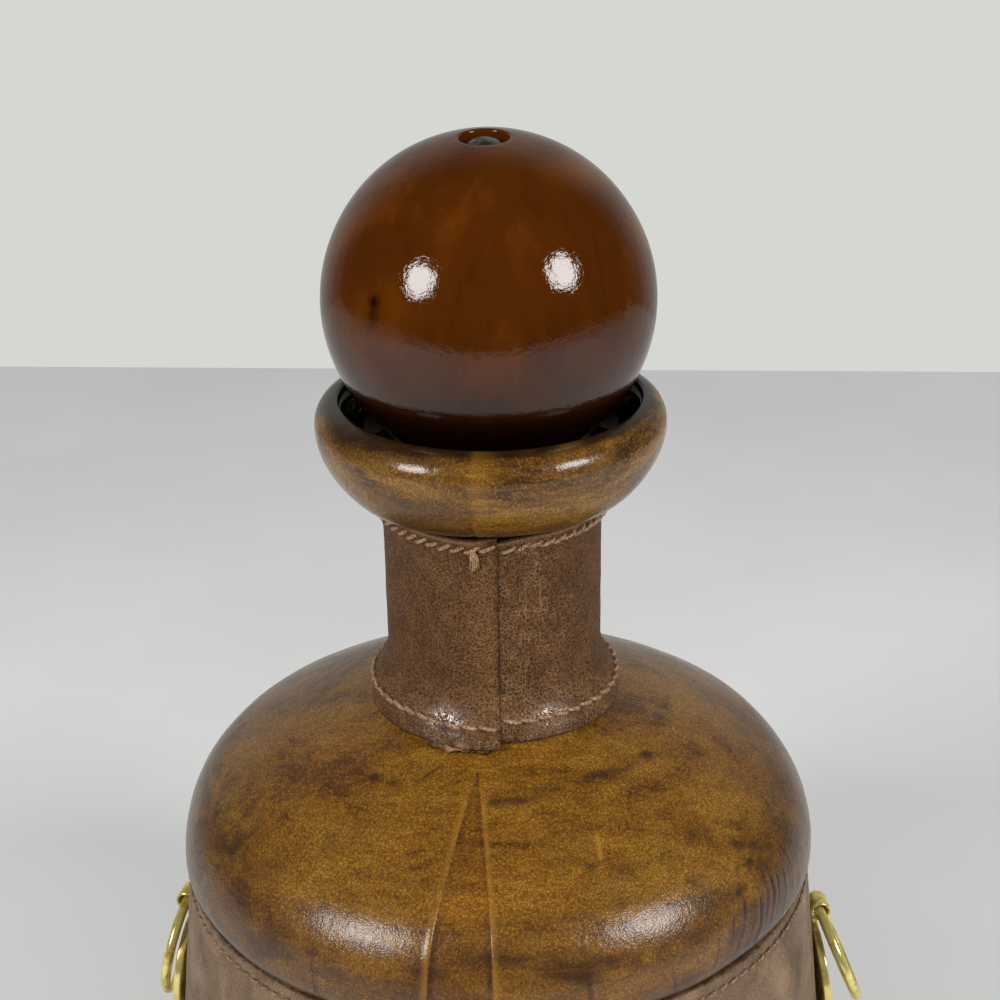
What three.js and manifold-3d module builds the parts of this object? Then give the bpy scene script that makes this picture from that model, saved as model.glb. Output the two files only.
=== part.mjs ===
// Leather-wrapped glass decanter with a turned wooden ball stopper.
// Millimetres, +Z up. The origin is on the bottle's axis, at the surface that the base pad stands on.

import * as THREE from "three";
import { mergeVertices } from "three/addons/utils/BufferGeometryUtils.js";
import Module from "manifold-3d";

const wasm = await Module();
wasm.setup();

// Clearances
const gap = 0.3; // between two pieces that touch
const overrun = 3; // how far a cutting tool passes the face that it cuts
const weldDistance = 0.0001; // corners nearer than this are one corner

// Thickness of each material
const bodyLeather = 1.6;
const mouthLeather = 1.6;
const collarLeather = 1.2;
const beltLeather = 1.7;
const glassWall = 3.5;
const glassBase = 6;
const neckWall = 5.4;
const padHeight = 2;
const padEdge = 0.5; // its lower edge is bevelled

// Body, measured on the outer face of its leather
const shoulderCentreR = 47.44;
const shoulderCentreZ = 98.76;
const shoulderRadius = 20.85;
const crownRadius = 126.6;
const crownAngle = 57; // degrees above level where the shoulder arc meets the crown arc
const tuckRadius = 5; // how the shoulder leather turns in above the belt
const footRadius = 26; // the round below the belt
const hemLift = 0.4; // the turned-under leather stays clear of the table
const hemWidth = 4.5; // flat leather under the base, from the foot round inwards
const coverSplitDrop = 22.8; // the two body covers meet this far below the belt's top edge
const neckFillet = 8; // where the glass neck runs into the crown
const coverTailLength = 2.7; // body leather pulled up the neck above that fillet
const coverTailLeather = 1.1; // its thinned edge

// Front gusset: a wedge of leather let into the body cover
const gussetApexX = -3.6;
const gussetApexY = -30;
const gussetLeftX = -15.9;
const gussetRightX = -0.6;
const gussetEdgeY = -71;
const gussetPointGap = 1.2; // the gap past its point

// Belt
const beltSeat = 2; // the body is this much narrower where the belt lies on it
const beltDrop = 3.96; // from the widest part of the shoulder down to the belt's top edge
const beltWidth = 60;
const beltLean = 5.58; // degrees, the lower edge stands further out
const beltSeamAzimuth = 90;
const beltStitchInset = 2.7;

// Neck and mouth
const neckRadius = 20.9; // of the glass
const mouthCentreR = 22.2;
const mouthCentreZ = 193.7;
const mouthRadius = 13.2; // underside of the mouth leather
const lipRadius = 5.4; // its rolled rim
const lipEndAngle = 87; // degrees round the roll where the leather ends
const mouthFillet = 3; // where the glass neck runs into the mouth
const mouthTailLength = 3.6; // leather pulled down the neck below that fillet
const mouthTailLeather = 0.85;
const mouthTailStep = 0.9;
const cupEndAngle = -70; // degrees round the inside of the mouth where the funnel starts
const cupFloorDrop = 1.1;
const cupEdge = 2;

// Collar round the neck, measured on its outer face
const collarRadius = 22.4;
const collarTopZ = 177.8;
const collarTopR = 24;
const collarTopFlare = 5.8; // height of the flare under the mouth
const collarFootR = 26.3;
const collarSeat = 0.59; // its hem stands this far above the crown's arc
const collarFootRise = 13.1; // height of the flare at the foot
const collarFootBevel = 0.8; // its hem is pared to the slope of the body
const collarLapAzimuth = -88; // the edge that shows in front
const collarLapAngle = 12; // degrees that the outer end covers of the inner one
const collarRampAngle = 34; // degrees over which the outer end rises
const collarTopStitchDrop = 2.2;
const collarFootStitchRise = 3.6;
const collarFlareShares = [
  [0, 0],
  [0.05, 0.07],
  [0.23, 0.27],
  [0.77, 0.565],
  [1, 0.893],
]; // how far out, against how far down the flare

// Thread
const threadRadius = 0.35;
const threadGrooveDepth = 0.5;
const threadGrooveHalf = 0.75;

// Stopper
const ballRadius = 32.9;
const ballSeat = 0.75; // how far the ball hangs off the rolled rim
const corkTaper = 1.4; // how much narrower its lower end is, in radius
const corkLength = 35;
const corkEdge = 1.2;
const stemRadius = 5;
const stemInCork = 29.5;
const stemInBall = 42.2;
const screwSkewForward = 2; // degrees, towards the front
const screwSkewLeft = 1.7; // degrees
const screwPocketRadius = 4.8;
const screwPocketDepth = 6.4;
const screwHeadRadius = 3.9;
const screwHeadHeight = 3.2;
const screwHeadDome = 1.5;
const screwShankRadius = 1.7;
const screwLength = 28;

// Side fittings: a round plate with an eye at its top, and a free ring
const rightAzimuth = 4;
const leftAzimuth = 170;
const fittingDrop = 41.5; // from the belt's top edge down to the plate's centre
const plateRadius = 13.5;
const plateThickness = 1.4;
const plateRimWidth = 1.6;
const plateRimHeight = 0.35;
const plateRimBevel = 0.4;
const eyeRise = 16.5; // from the plate's centre up to the eye
const eyeRadius = 2.4;
const eyeBore = 1.78;
const eyeLength = 5.2;
const eyeNeckWidth = 3.4;
const eyeNeckFoot = 10.3; // where its neck starts, above the plate's centre
const ringRadius = 12.2; // to the middle of the bar
const ringBar = 1.15; // radius of the bar
const rightRingAngle = 17; // degrees out from the plate, as it hangs
const leftRingAngle = 6;
const rivetSpread = 5.6;
const rivetHeadRadius = 1.7;
const rivetHeadHeight = 1.1;
const rivetShankRadius = 0.9;

// Facets
const bodySegments = 32;
const neckSteps = 3;
const crownSteps = 3;
const shoulderSteps = 4;
const tuckSteps = 3;
const footSteps = 5;
const floorSteps = 3;
const mouthSteps = 4;
const lipSteps = 3;
const lipLeatherSteps = 4;
const domeSteps = 4;
const rivetDomeSteps = 3;
const bandSteps = 36;
const threadSides = 4;
const ballSegments = 28;
const pocketSegments = 20;
const plateSegments = 24;
const smallSegments = 12;
const rivetSegments = 8;
const ringSteps = 24;
const ringSides = 6;

const radians = Math.PI / 180;
const cosDeg = (angle) => Math.cos(angle * radians);
const sinDeg = (angle) => Math.sin(angle * radians);

// Points [r, z] on an arc about [r, z], from one angle to another in degrees, both ends included.
function arc([centreR, centreZ], radius, from, to, steps) {
  const points = [];
  for (let i = 0; i <= steps; i++) {
    const angle = from + ((to - from) * i) / steps;
    points.push([centreR + radius * cosDeg(angle), centreZ + radius * sinDeg(angle)]);
  }
  return points;
}

// A geometry's faces as a manifold-3d solid.
function solid(geometry) {
  const bare = geometry.clone();
  bare.deleteAttribute("normal");
  bare.deleteAttribute("uv");
  const merged = mergeVertices(bare, weldDistance);
  const triVerts = [];
  const index = merged.index.array;
  for (let i = 0; i < index.length; i += 3) {
    const [a, b, c] = index.slice(i, i + 3);
    if (a !== b && b !== c && c !== a) triVerts.push(a, b, c);
  }
  const vertProperties = merged.attributes.position.array;
  return new wasm.Manifold(
    new wasm.Mesh({ numProp: 3, vertProperties, triVerts: new Uint32Array(triVerts) }),
  );
}

// A manifold-3d solid's faces as a geometry.
function geometryOf(made) {
  const { vertProperties, triVerts, numProp } = made.getMesh();
  const count = vertProperties.length / numProp;
  const positions = new Float32Array(count * 3);
  for (let i = 0; i < count; i++) {
    positions.set(vertProperties.subarray(i * numProp, i * numProp + 3), i * 3);
  }
  const geometry = new THREE.BufferGeometry();
  geometry.setAttribute("position", new THREE.BufferAttribute(positions, 3));
  geometry.setIndex(new THREE.BufferAttribute(new Uint32Array(triVerts), 1));
  return geometry;
}

// A profile [r, z] turned about the Z axis. It runs out along the bottom, up the outside and back.
function turned(profile, segments = bodySegments) {
  const points = profile.map(([r, z]) => new THREE.Vector2(r, z));
  return new THREE.LatheGeometry(points, segments).rotateX(Math.PI / 2);
}

const ringProfile = (points) => [...points, points[0]];

// A closed section [r, z] carried round the Z axis between two azimuths, with flat ends.
function band(section, from, to, steps, lift = () => 0) {
  const positions = [];
  const index = [];
  const count = section.length;
  for (let i = 0; i <= steps; i++) {
    const azimuth = from + ((to - from) * i) / steps;
    const out = lift(azimuth);
    for (const [r, z] of section) {
      positions.push((r + out) * cosDeg(azimuth), (r + out) * sinDeg(azimuth), z);
    }
  }
  for (let i = 0; i < steps; i++) {
    for (let j = 0; j < count; j++) {
      const a = i * count + j;
      const d = i * count + ((j + 1) % count);
      index.push(a, a + count, d + count, a, d + count, d);
    }
  }
  const flat = section.map(([r, z]) => new THREE.Vector2(r, z));
  for (const [a, b, c] of THREE.ShapeUtils.triangulateShape(flat, [])) {
    index.push(a, b, c);
    index.push(steps * count + a, steps * count + c, steps * count + b);
  }
  const geometry = new THREE.BufferGeometry();
  geometry.setAttribute("position", new THREE.Float32BufferAttribute(positions, 3));
  geometry.setIndex(index);
  return geometry;
}

// A path [r, z] moved sideways: to its right hand as it runs, by distance.
function offset(path, distance) {
  return path.map(([r, z], i) => {
    const [beforeR, beforeZ] = path[Math.max(i - 1, 0)];
    const [afterR, afterZ] = path[Math.min(i + 1, path.length - 1)];
    const length = Math.hypot(afterR - beforeR, afterZ - beforeZ);
    return [
      r + (distance * (afterZ - beforeZ)) / length,
      z - (distance * (afterR - beforeR)) / length,
    ];
  });
}

// Shape of the body. Each face of its covers and its glass lies at some depth under the leather.
const bodySkin = bodyLeather + gap; // depth of the glass
const crownCentre = [
  shoulderCentreR - (crownRadius - shoulderRadius) * cosDeg(crownAngle),
  shoulderCentreZ - (crownRadius - shoulderRadius) * sinDeg(crownAngle),
];
const filletCentreR = neckRadius + neckFillet;
const filletReach = crownRadius - bodySkin + neckFillet;
const filletCentreZ =
  crownCentre[1] + Math.sqrt(filletReach ** 2 - (filletCentreR - crownCentre[0]) ** 2);
const filletAngle =
  Math.atan2(filletCentreZ - crownCentre[1], filletCentreR - crownCentre[0]) / radians;
const shoulderR = shoulderCentreR + shoulderRadius;
const beltTopZ = shoulderCentreZ - beltDrop;
const coneReach = (shoulderR - beltSeat) * cosDeg(beltLean) + beltTopZ * sinDeg(beltLean);
const coverSplitZ = beltTopZ - coverSplitDrop;
const coneR = (z, depth) => (coneReach - depth - z * sinDeg(beltLean)) / cosDeg(beltLean);
const coverTailZ = filletCentreZ + coverTailLength;
const footCentreZ = hemLift + footRadius;
const footCentreR =
  (coneReach - footRadius - footCentreZ * sinDeg(beltLean)) / cosDeg(beltLean);
const hemInnerR = footCentreR - hemWidth;
const tuckCentre = [shoulderR - tuckRadius, shoulderCentreZ];

// The turn-in above the belt, down to where it meets the straight part.
function tuck(depth) {
  const toCone =
    coneReach - depth - tuckCentre[0] * cosDeg(beltLean) - tuckCentre[1] * sinDeg(beltLean);
  const end = beltLean - Math.acos(toCone / (tuckRadius - depth)) / radians;
  return arc(tuckCentre, tuckRadius - depth, 0, end, tuckSteps).slice(1);
}

const shoulderCentre = [shoulderCentreR, shoulderCentreZ];
const filletCentre = [filletCentreR, filletCentreZ];
const footCentre = [footCentreR, footCentreZ];
const crownArc = (depth, from) =>
  arc(crownCentre, crownRadius - depth, from, crownAngle, crownSteps);
const shoulderArc = (depth) =>
  arc(shoulderCentre, shoulderRadius - depth, crownAngle, 0, shoulderSteps).slice(1);
const neckArc = (depth) =>
  arc(filletCentre, neckFillet - bodySkin + depth, 180, 180 + filletAngle, neckSteps).slice(0, -1);
const footArc = (depth, to, steps) => arc(footCentre, footRadius - depth, beltLean, to, steps);

// From the neck down to where the belt covers the leather.
const upperFace = (depth) => [
  ...neckArc(depth),
  ...crownArc(depth, filletAngle),
  ...shoulderArc(depth),
  ...tuck(depth),
];

// Shape of the mouth, likewise
const mouthSkin = mouthLeather + gap;
const mouthCentre = [mouthCentreR, mouthCentreZ];
const lipCentre = [mouthCentreR + mouthRadius - lipRadius, mouthCentreZ];
const mouthFilletR = neckRadius + mouthFillet;
const mouthFilletZ =
  mouthCentreZ -
  Math.sqrt(
    (mouthRadius - mouthSkin + mouthFillet) ** 2 - (mouthFilletR - mouthCentreR) ** 2,
  );
const mouthFilletAngle =
  Math.atan2(mouthCentreZ - mouthFilletZ, mouthCentreR - mouthFilletR) / radians;

const mouthFace = (depth, lipAngle, steps) => [
  ...arc([mouthFilletR, mouthFilletZ], mouthFillet - mouthSkin + depth, 180, mouthFilletAngle, 2),
  ...arc(mouthCentre, mouthRadius - depth, mouthFilletAngle - 180, 0, mouthSteps),
  ...arc(lipCentre, lipRadius - depth, 0, lipAngle, steps).slice(1),
];

// The bottle: outside from the base up, over the lip, and down the inside.
const boreRadius = neckRadius - neckWall;

function glassBottle() {
  const outside = [
    [0, hemLift + bodySkin],
    ...footArc(bodySkin, -90, footSteps).reverse(),
    ...upperFace(bodySkin).reverse(),
    ...mouthFace(mouthSkin, 90, lipSteps),
  ];
  const inner = bodySkin + glassWall;
  const cupRadius = mouthRadius - mouthSkin - glassWall;
  const cup = arc(mouthCentre, cupRadius, 0, cupEndAngle, lipSteps);
  const cupFloorZ = cup.at(-1)[1] - cupFloorDrop;
  const crownStart =
    Math.acos((boreRadius - crownCentre[0]) / (crownRadius - inner)) / radians;
  const floorZ = hemLift + bodySkin + glassBase;
  const floorAngle = -Math.asin((footCentreZ - floorZ) / (footRadius - inner)) / radians;
  const inside = [
    ...cup,
    [boreRadius + cupEdge, cupFloorZ],
    [boreRadius, cupFloorZ - cupEdge],
    ...crownArc(inner, crownStart),
    ...shoulderArc(inner),
    ...footArc(inner, floorAngle, floorSteps),
    [0, floorZ],
  ];
  return turned([...outside, ...inside]);
}

// The body leather above the split, with its thinned edge up the neck.
function upperShell() {
  const outer = [
    [neckRadius + gap + coverTailLeather, coverTailZ],
    ...upperFace(0),
    [coneR(coverSplitZ + gap / 2, 0), coverSplitZ + gap / 2],
  ];
  const inner = [
    [neckRadius + gap, coverTailZ],
    ...upperFace(bodyLeather),
    [coneR(coverSplitZ + gap / 2, bodyLeather), coverSplitZ + gap / 2],
  ];
  return turned(ringProfile([...outer.reverse(), ...inner]));
}

function lowerShell() {
  const top = coverSplitZ - gap / 2;
  const foot = footArc(0, -90, footSteps).reverse();
  const outer = [[hemInnerR, hemLift], ...foot, [coneR(top, 0), top]];
  const inner = [
    [coneR(top, bodyLeather), top],
    ...footArc(bodyLeather, -90, footSteps),
    [hemInnerR, hemLift + bodyLeather],
  ];
  return turned(ringProfile([...outer, ...inner]));
}

function basePad() {
  const radius = hemInnerR - gap;
  return turned([
    [0, 0],
    [radius - padEdge, 0],
    [radius, padEdge],
    [radius, padHeight],
    [0, padHeight],
  ]);
}

// An upright wedge that holds the gusset, grown by spread at its sides and by reach at its point.
const wedgeBottom = coverSplitZ - overrun;
const wedgeTop = coverTailZ + overrun;

function wedge(spread, reach) {
  const shape = new THREE.Shape([
    new THREE.Vector2(gussetApexX, gussetApexY + reach),
    new THREE.Vector2(gussetLeftX - spread, gussetEdgeY - overrun),
    new THREE.Vector2(gussetRightX + spread, gussetEdgeY - overrun),
  ]);
  const depth = wedgeTop - wedgeBottom;
  return new THREE.ExtrudeGeometry(shape, { depth, bevelEnabled: false }).translate(0, 0, wedgeBottom);
}

// The butt seam that runs on from the gusset's point, up the neck.
function neckSeam() {
  const back = -overrun;
  return new THREE.BoxGeometry(gap, back - gussetApexY, wedgeTop - wedgeBottom).translate(
    gussetApexX,
    (back + gussetApexY) / 2,
    (wedgeTop + wedgeBottom) / 2,
  );
}

function mouthCover() {
  const tailR = neckRadius + gap;
  const outer = [
    [tailR + mouthTailLeather, mouthFilletZ - mouthTailLength],
    [tailR + mouthTailLeather, mouthFilletZ - mouthTailStep],
    ...mouthFace(0, lipEndAngle, lipLeatherSteps),
  ];
  const inner = [
    [tailR, mouthFilletZ - mouthTailLength],
    ...mouthFace(mouthLeather, lipEndAngle, lipSteps),
  ];
  return turned(ringProfile([...outer, ...inner.reverse()]));
}

// A shallow channel across a face that runs from one point to another, for a line of thread.
function channel([fromR, fromZ], [toR, toZ], along) {
  const length = Math.hypot(toR - fromR, toZ - fromZ);
  const stepR = (toR - fromR) / length;
  const stepZ = (toZ - fromZ) / length;
  const at = (distance, depth) => [
    fromR + stepR * distance - stepZ * depth,
    fromZ + stepZ * distance + stepR * depth,
  ];
  return [
    at(along - threadGrooveHalf, 0),
    at(along - threadGrooveHalf / 2, threadGrooveDepth),
    at(along + threadGrooveHalf / 2, threadGrooveDepth),
    at(along + threadGrooveHalf, 0),
  ];
}

// The section of the thread that lies in such a channel.
function threadSection(groove) {
  const [, floorFrom, floorTo] = groove;
  const length = Math.hypot(floorTo[0] - floorFrom[0], floorTo[1] - floorFrom[1]);
  const outR = (floorTo[1] - floorFrom[1]) / length;
  const outZ = -(floorTo[0] - floorFrom[0]) / length;
  const height = gap + threadRadius;
  const centre = [
    (floorFrom[0] + floorTo[0]) / 2 + outR * height,
    (floorFrom[1] + floorTo[1]) / 2 + outZ * height,
  ];
  return arc(centre, threadRadius, 0, 360, threadSides).slice(0, -1);
}

// The collar's outer face, from its foot up, with the two channels.
const crownRise = Math.sqrt(crownRadius ** 2 - (collarFootR - crownCentre[0]) ** 2);
const collarFootZ = crownCentre[1] + crownRise + collarSeat;
const collarFoot = collarFlareShares
  .map(([out, down]) => [
    collarRadius + (collarFootR - collarRadius) * out,
    collarFootZ + collarFootRise * (1 - down),
  ])
  .reverse();
const collarFootEdge = [collarFootR, collarFootZ];
const collarUnderMouth = [collarRadius, collarTopZ - collarTopFlare];
const collarTop = [collarTopR, collarTopZ];
const collarTopLength = Math.hypot(collarTopR - collarRadius, collarTopFlare);
const collarFootGroove = channel(collarFoot[0], collarFoot[1], collarFootStitchRise);
const collarTopGroove = channel(
  collarUnderMouth,
  collarTop,
  collarTopLength - collarTopStitchDrop,
);
const collarStart = collarLapAzimuth - collarLapAngle;
const collarEnd = collarLapAzimuth + 360;
const collarLift = collarLeather + gap;

// How far the strap's outer end stands out where it laps over its own beginning.
function lapLift(azimuth) {
  const rise = (azimuth - (collarStart + 360 - collarRampAngle)) / collarRampAngle;
  return collarLift * Math.min(Math.max(rise, 0), 1);
}

function neckCollar() {
  const face = [
    collarFootEdge,
    collarFoot[0],
    ...collarFootGroove,
    ...collarFoot.slice(1),
    collarUnderMouth,
    ...collarTopGroove,
    collarTop,
  ];
  const plain = [collarFootEdge, ...collarFoot, collarUnderMouth, collarTop];
  const back = offset(plain, -collarLeather).reverse();
  back.at(-1)[1] += collarFootBevel;
  return band([...face, ...back], collarStart, collarEnd, bandSteps, lapLift);
}

// The thread starts beside the lap's edge, because its stitches go through both layers there.
const collarThreadStart = collarLapAzimuth + (gap + threadRadius) / (collarRadius * radians);
const collarThread = (groove) =>
  band(threadSection(groove), collarThreadStart, collarEnd, bandSteps, lapLift);

// The belt's outer face, from its lower edge up.
const beltTopR = coneR(beltTopZ, -gap - beltLeather);
const beltTop = [beltTopR, beltTopZ];
const beltBottom = [
  beltTopR + beltWidth * sinDeg(beltLean),
  beltTopZ - beltWidth * cosDeg(beltLean),
];
const beltFootGroove = channel(beltBottom, beltTop, beltStitchInset);
const beltTopGroove = channel(beltBottom, beltTop, beltWidth - beltStitchInset);
const beltSeamAngle = gap / (2 * beltTopR * radians);

const aroundBelt = (section) =>
  band(section, beltSeamAzimuth + beltSeamAngle, beltSeamAzimuth + 360 - beltSeamAngle, bandSteps);

function beltStrap() {
  const back = offset([beltBottom, beltTop], -beltLeather).reverse();
  return aroundBelt([beltBottom, ...beltFootGroove, ...beltTopGroove, beltTop, ...back]);
}

// A cylinder along Z from one height to another.
function rod(radius, bottom, top, segments = smallSegments) {
  return new THREE.CylinderGeometry(radius, radius, top - bottom, segments)
    .rotateX(Math.PI / 2)
    .translate(0, 0, (top + bottom) / 2);
}

// The ball hangs just clear of the mouth's rolled rim.
const ballCentreZ =
  lipCentre[1] + Math.sqrt((ballRadius + lipRadius + ballSeat) ** 2 - lipCentre[0] ** 2);
const corkTopZ = ballCentreZ - ballRadius - gap;
const stemTopZ = ballCentreZ - ballRadius + stemInBall;
const stemBottomZ = corkTopZ - stemInCork;

// Along the screw's axis, which leans a little about the ball's centre.
function alongScrew(geometry) {
  return geometry
    .rotateX(screwSkewForward * radians)
    .rotateY(-screwSkewLeft * radians)
    .translate(0, 0, ballCentreZ);
}

const pocketFloor = ballRadius - screwPocketDepth; // above the ball's centre
const screwTip = pocketFloor + gap - screwLength;
const screwHole = () =>
  alongScrew(rod(screwShankRadius + gap, screwTip - gap, pocketFloor + overrun));
const screwPocket = () =>
  alongScrew(rod(screwPocketRadius, pocketFloor, ballRadius + overrun, pocketSegments));

function stopperBall() {
  const ball = new THREE.SphereGeometry(ballRadius, ballSegments, ballSegments / 2)
    .rotateX(Math.PI / 2)
    .translate(0, 0, ballCentreZ);
  const stemHole = rod(stemRadius + gap, ballCentreZ - ballRadius - overrun, stemTopZ + gap);
  let made = solid(ball);
  for (const hole of [screwPocket(), screwHole(), stemHole]) made = made.subtract(solid(hole));
  return geometryOf(made);
}

function stopperScrew() {
  const bottom = pocketFloor + gap;
  const crown = bottom + screwHeadHeight;
  const dome = arc([0, 0], 1, 0, 90, domeSteps).map(([across, up]) => [
    across * screwHeadRadius,
    crown + up * screwHeadDome,
  ]);
  const shank = [
    [0, screwTip],
    [screwShankRadius, screwTip],
    [screwShankRadius, bottom],
  ];
  return alongScrew(turned([...shank, [screwHeadRadius, bottom], ...dome], smallSegments));
}

function stopperStem() {
  return geometryOf(solid(rod(stemRadius, stemBottomZ, stemTopZ)).subtract(solid(screwHole())));
}

function stopperCork() {
  const bottom = corkTopZ - corkLength;
  const topRadius = boreRadius - gap;
  const bottomRadius = topRadius - corkTaper;
  const cork = turned([
    [0, bottom],
    [bottomRadius - corkEdge, bottom],
    [bottomRadius, bottom + corkEdge],
    [topRadius, corkTopZ - corkEdge],
    [topRadius - corkEdge, corkTopZ],
    [0, corkTopZ],
  ]);
  const stemHole = rod(stemRadius + gap, stemBottomZ - gap, corkTopZ + overrun);
  return geometryOf(solid(cork).subtract(solid(stemHole)));
}

// Side fittings. Here X runs straight out of the belt, Y along it, and Z up its face.
const eyeOut = eyeRadius + gap;
const plateBack = gap;
const plateFront = plateBack + plateThickness;

function eyePlate() {
  const plate = turned(
    [
      [0, plateBack],
      [plateRadius, plateBack],
      [plateRadius, plateFront],
      [plateRadius - plateRimBevel, plateFront + plateRimHeight],
      [plateRadius - plateRimWidth, plateFront + plateRimHeight],
      [plateRadius - plateRimWidth, plateFront],
      [0, plateFront],
    ],
    plateSegments,
  ).rotateY(Math.PI / 2);
  const barrel = rod(eyeRadius, -eyeLength / 2, eyeLength / 2)
    .rotateX(Math.PI / 2)
    .translate(eyeOut, 0, eyeRise);
  const neck = new THREE.BoxGeometry(plateThickness, eyeNeckWidth, eyeRise - eyeNeckFoot).translate(
    (plateBack + plateFront) / 2,
    0,
    (eyeRise + eyeNeckFoot) / 2,
  );
  const bore = rod(eyeBore, -eyeLength, eyeLength)
    .rotateX(Math.PI / 2)
    .translate(eyeOut, 0, eyeRise);
  let made = solid(plate).add(solid(neck)).add(solid(barrel)).subtract(solid(bore));
  for (const side of [-1, 1]) made = made.subtract(solid(rivetHole(side)));
  return geometryOf(made);
}

const rivetHole = (side) =>
  rod(rivetShankRadius + gap, -beltLeather - gap, plateFront + overrun, rivetSegments)
    .rotateY(Math.PI / 2)
    .translate(0, side * rivetSpread, 0);

function rivet(side) {
  const head = plateFront + gap;
  const dome = arc([0, 0], 1, 0, 90, rivetDomeSteps).map(([across, up]) => [
    across * rivetHeadRadius,
    head + up * rivetHeadHeight,
  ]);
  const shank = [
    [0, -beltLeather],
    [rivetShankRadius, -beltLeather],
    [rivetShankRadius, head],
  ];
  return turned([...shank, ...dome], rivetSegments)
    .rotateY(Math.PI / 2)
    .translate(0, side * rivetSpread, 0);
}

function looseRing() {
  return new THREE.TorusGeometry(ringRadius, ringBar, ringSides, ringSteps)
    .rotateY(Math.PI / 2)
    .translate(0, 0, -ringRadius);
}

// Each sub-part's finish
const finishes = {
  glass: { color: 0x2a1a10, roughness: 0.08, metalness: 0 },
  bodyLeather: { color: 0x7a5020, roughness: 0.42, metalness: 0 },
  gussetLeather: { color: 0x71501f, roughness: 0.45, metalness: 0 },
  mouthLeather: { color: 0x76522a, roughness: 0.38, metalness: 0 },
  collarLeather: { color: 0x60432c, roughness: 0.6, metalness: 0 },
  beltLeather: { color: 0x886f5a, roughness: 0.62, metalness: 0 },
  thread: { color: 0x8d6b4a, roughness: 0.85, metalness: 0 },
  padFelt: { color: 0x3a2b20, roughness: 0.95, metalness: 0 },
  lacqueredWood: { color: 0x4e210a, roughness: 0.12, metalness: 0 },
  bareWood: { color: 0xa9825a, roughness: 0.7, metalness: 0 },
  cork: { color: 0xb58a5c, roughness: 0.85, metalness: 0 },
  brass: { color: 0xc9a24a, roughness: 0.25, metalness: 1 },
  steel: { color: 0x8b8a86, roughness: 0.5, metalness: 1 },
};

function piece(name, geometry, finish) {
  const made = new THREE.Mesh(geometry, new THREE.MeshStandardMaterial(finishes[finish]));
  made.name = name;
  return made;
}

const decanter = new THREE.Group();
decanter.add(
  piece("glass_bottle", glassBottle(), "glass"),
  piece("lower_body_cover", lowerShell(), "bodyLeather"),
  piece("base_pad", basePad(), "padFelt"),
  piece("mouth_cover", mouthCover(), "mouthLeather"),
  piece("neck_collar", neckCollar(), "collarLeather"),
  piece("collar_top_thread", collarThread(collarTopGroove), "thread"),
  piece("collar_foot_thread", collarThread(collarFootGroove), "thread"),
  piece("belt_top_thread", aroundBelt(threadSection(beltTopGroove)), "thread"),
  piece("belt_foot_thread", aroundBelt(threadSection(beltFootGroove)), "thread"),
);

// The body leather's upper part, and the gusset cut out of it
const shell = solid(upperShell());
const upperCover = geometryOf(
  shell.subtract(solid(wedge(gap, gussetPointGap))).subtract(solid(neckSeam())),
);
const gusset = geometryOf(shell.intersect(solid(wedge(0, 0))));
decanter.add(
  piece("upper_body_cover", upperCover, "bodyLeather"),
  piece("front_gusset", gusset, "gussetLeather"),
);

// Stopper
decanter.add(
  piece("stopper_ball", stopperBall(), "lacqueredWood"),
  piece("stopper_screw", stopperScrew(), "steel"),
  piece("stopper_stem", stopperStem(), "bareWood"),
  piece("stopper_cork", stopperCork(), "cork"),
);

// The two fittings, and the belt with their rivet holes
let strap = solid(beltStrap());
const fittingZ = beltTopZ - fittingDrop;
const fittingR = coneR(fittingZ, -gap - beltLeather);
const fittings = [
  ["right", rightAzimuth, rightRingAngle, -1],
  ["left", leftAzimuth, leftRingAngle, 1],
];
for (const [side, azimuth, ringAngle, front] of fittings) {
  const turn = new THREE.Group();
  turn.rotation.z = azimuth * radians;
  const face = new THREE.Group();
  face.position.set(fittingR, 0, fittingZ);
  face.rotation.y = -beltLean * radians;
  const pivot = new THREE.Group();
  pivot.position.set(eyeOut, 0, eyeRise);
  pivot.rotation.y = -ringAngle * radians;
  pivot.add(piece(`${side}_ring`, looseRing(), "brass"));
  face.add(piece(`${side}_eye_plate`, eyePlate(), "brass"), pivot);
  face.add(piece(`${side}_rivet_front`, rivet(front), "brass"));
  face.add(piece(`${side}_rivet_back`, rivet(-front), "brass"));
  turn.add(face);
  decanter.add(turn);
  face.updateWorldMatrix(true, false);
  for (const end of [-1, 1]) {
    strap = strap.subtract(solid(rivetHole(end).applyMatrix4(face.matrixWorld)));
  }
}
decanter.add(piece("belt", geometryOf(strap), "beltLeather"));

export default decanter;
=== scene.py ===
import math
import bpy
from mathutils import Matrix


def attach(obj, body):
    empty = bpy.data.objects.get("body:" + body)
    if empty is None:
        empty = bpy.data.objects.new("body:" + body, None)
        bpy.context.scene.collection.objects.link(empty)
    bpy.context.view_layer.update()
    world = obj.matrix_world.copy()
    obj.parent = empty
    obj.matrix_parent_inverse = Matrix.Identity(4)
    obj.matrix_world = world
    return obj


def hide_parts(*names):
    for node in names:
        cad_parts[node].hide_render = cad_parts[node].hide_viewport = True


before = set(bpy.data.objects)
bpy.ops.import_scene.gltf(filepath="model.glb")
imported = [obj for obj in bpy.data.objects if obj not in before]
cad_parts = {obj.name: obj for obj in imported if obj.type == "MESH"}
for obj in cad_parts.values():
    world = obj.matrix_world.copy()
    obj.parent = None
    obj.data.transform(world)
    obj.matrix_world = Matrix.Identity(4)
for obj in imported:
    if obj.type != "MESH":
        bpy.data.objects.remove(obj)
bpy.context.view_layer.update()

# Leather-wrapped decanter, dressed over its CAD frame.
# Shapes are worked out in millimetres and degrees, with the CAD source's own driving sizes,
# and written to Blender in metres. Azimuth 0 is +X and -90 is the front.

from types import SimpleNamespace

import bpy
import numpy as np
from mathutils import Matrix, Vector

MM = 0.001

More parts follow.
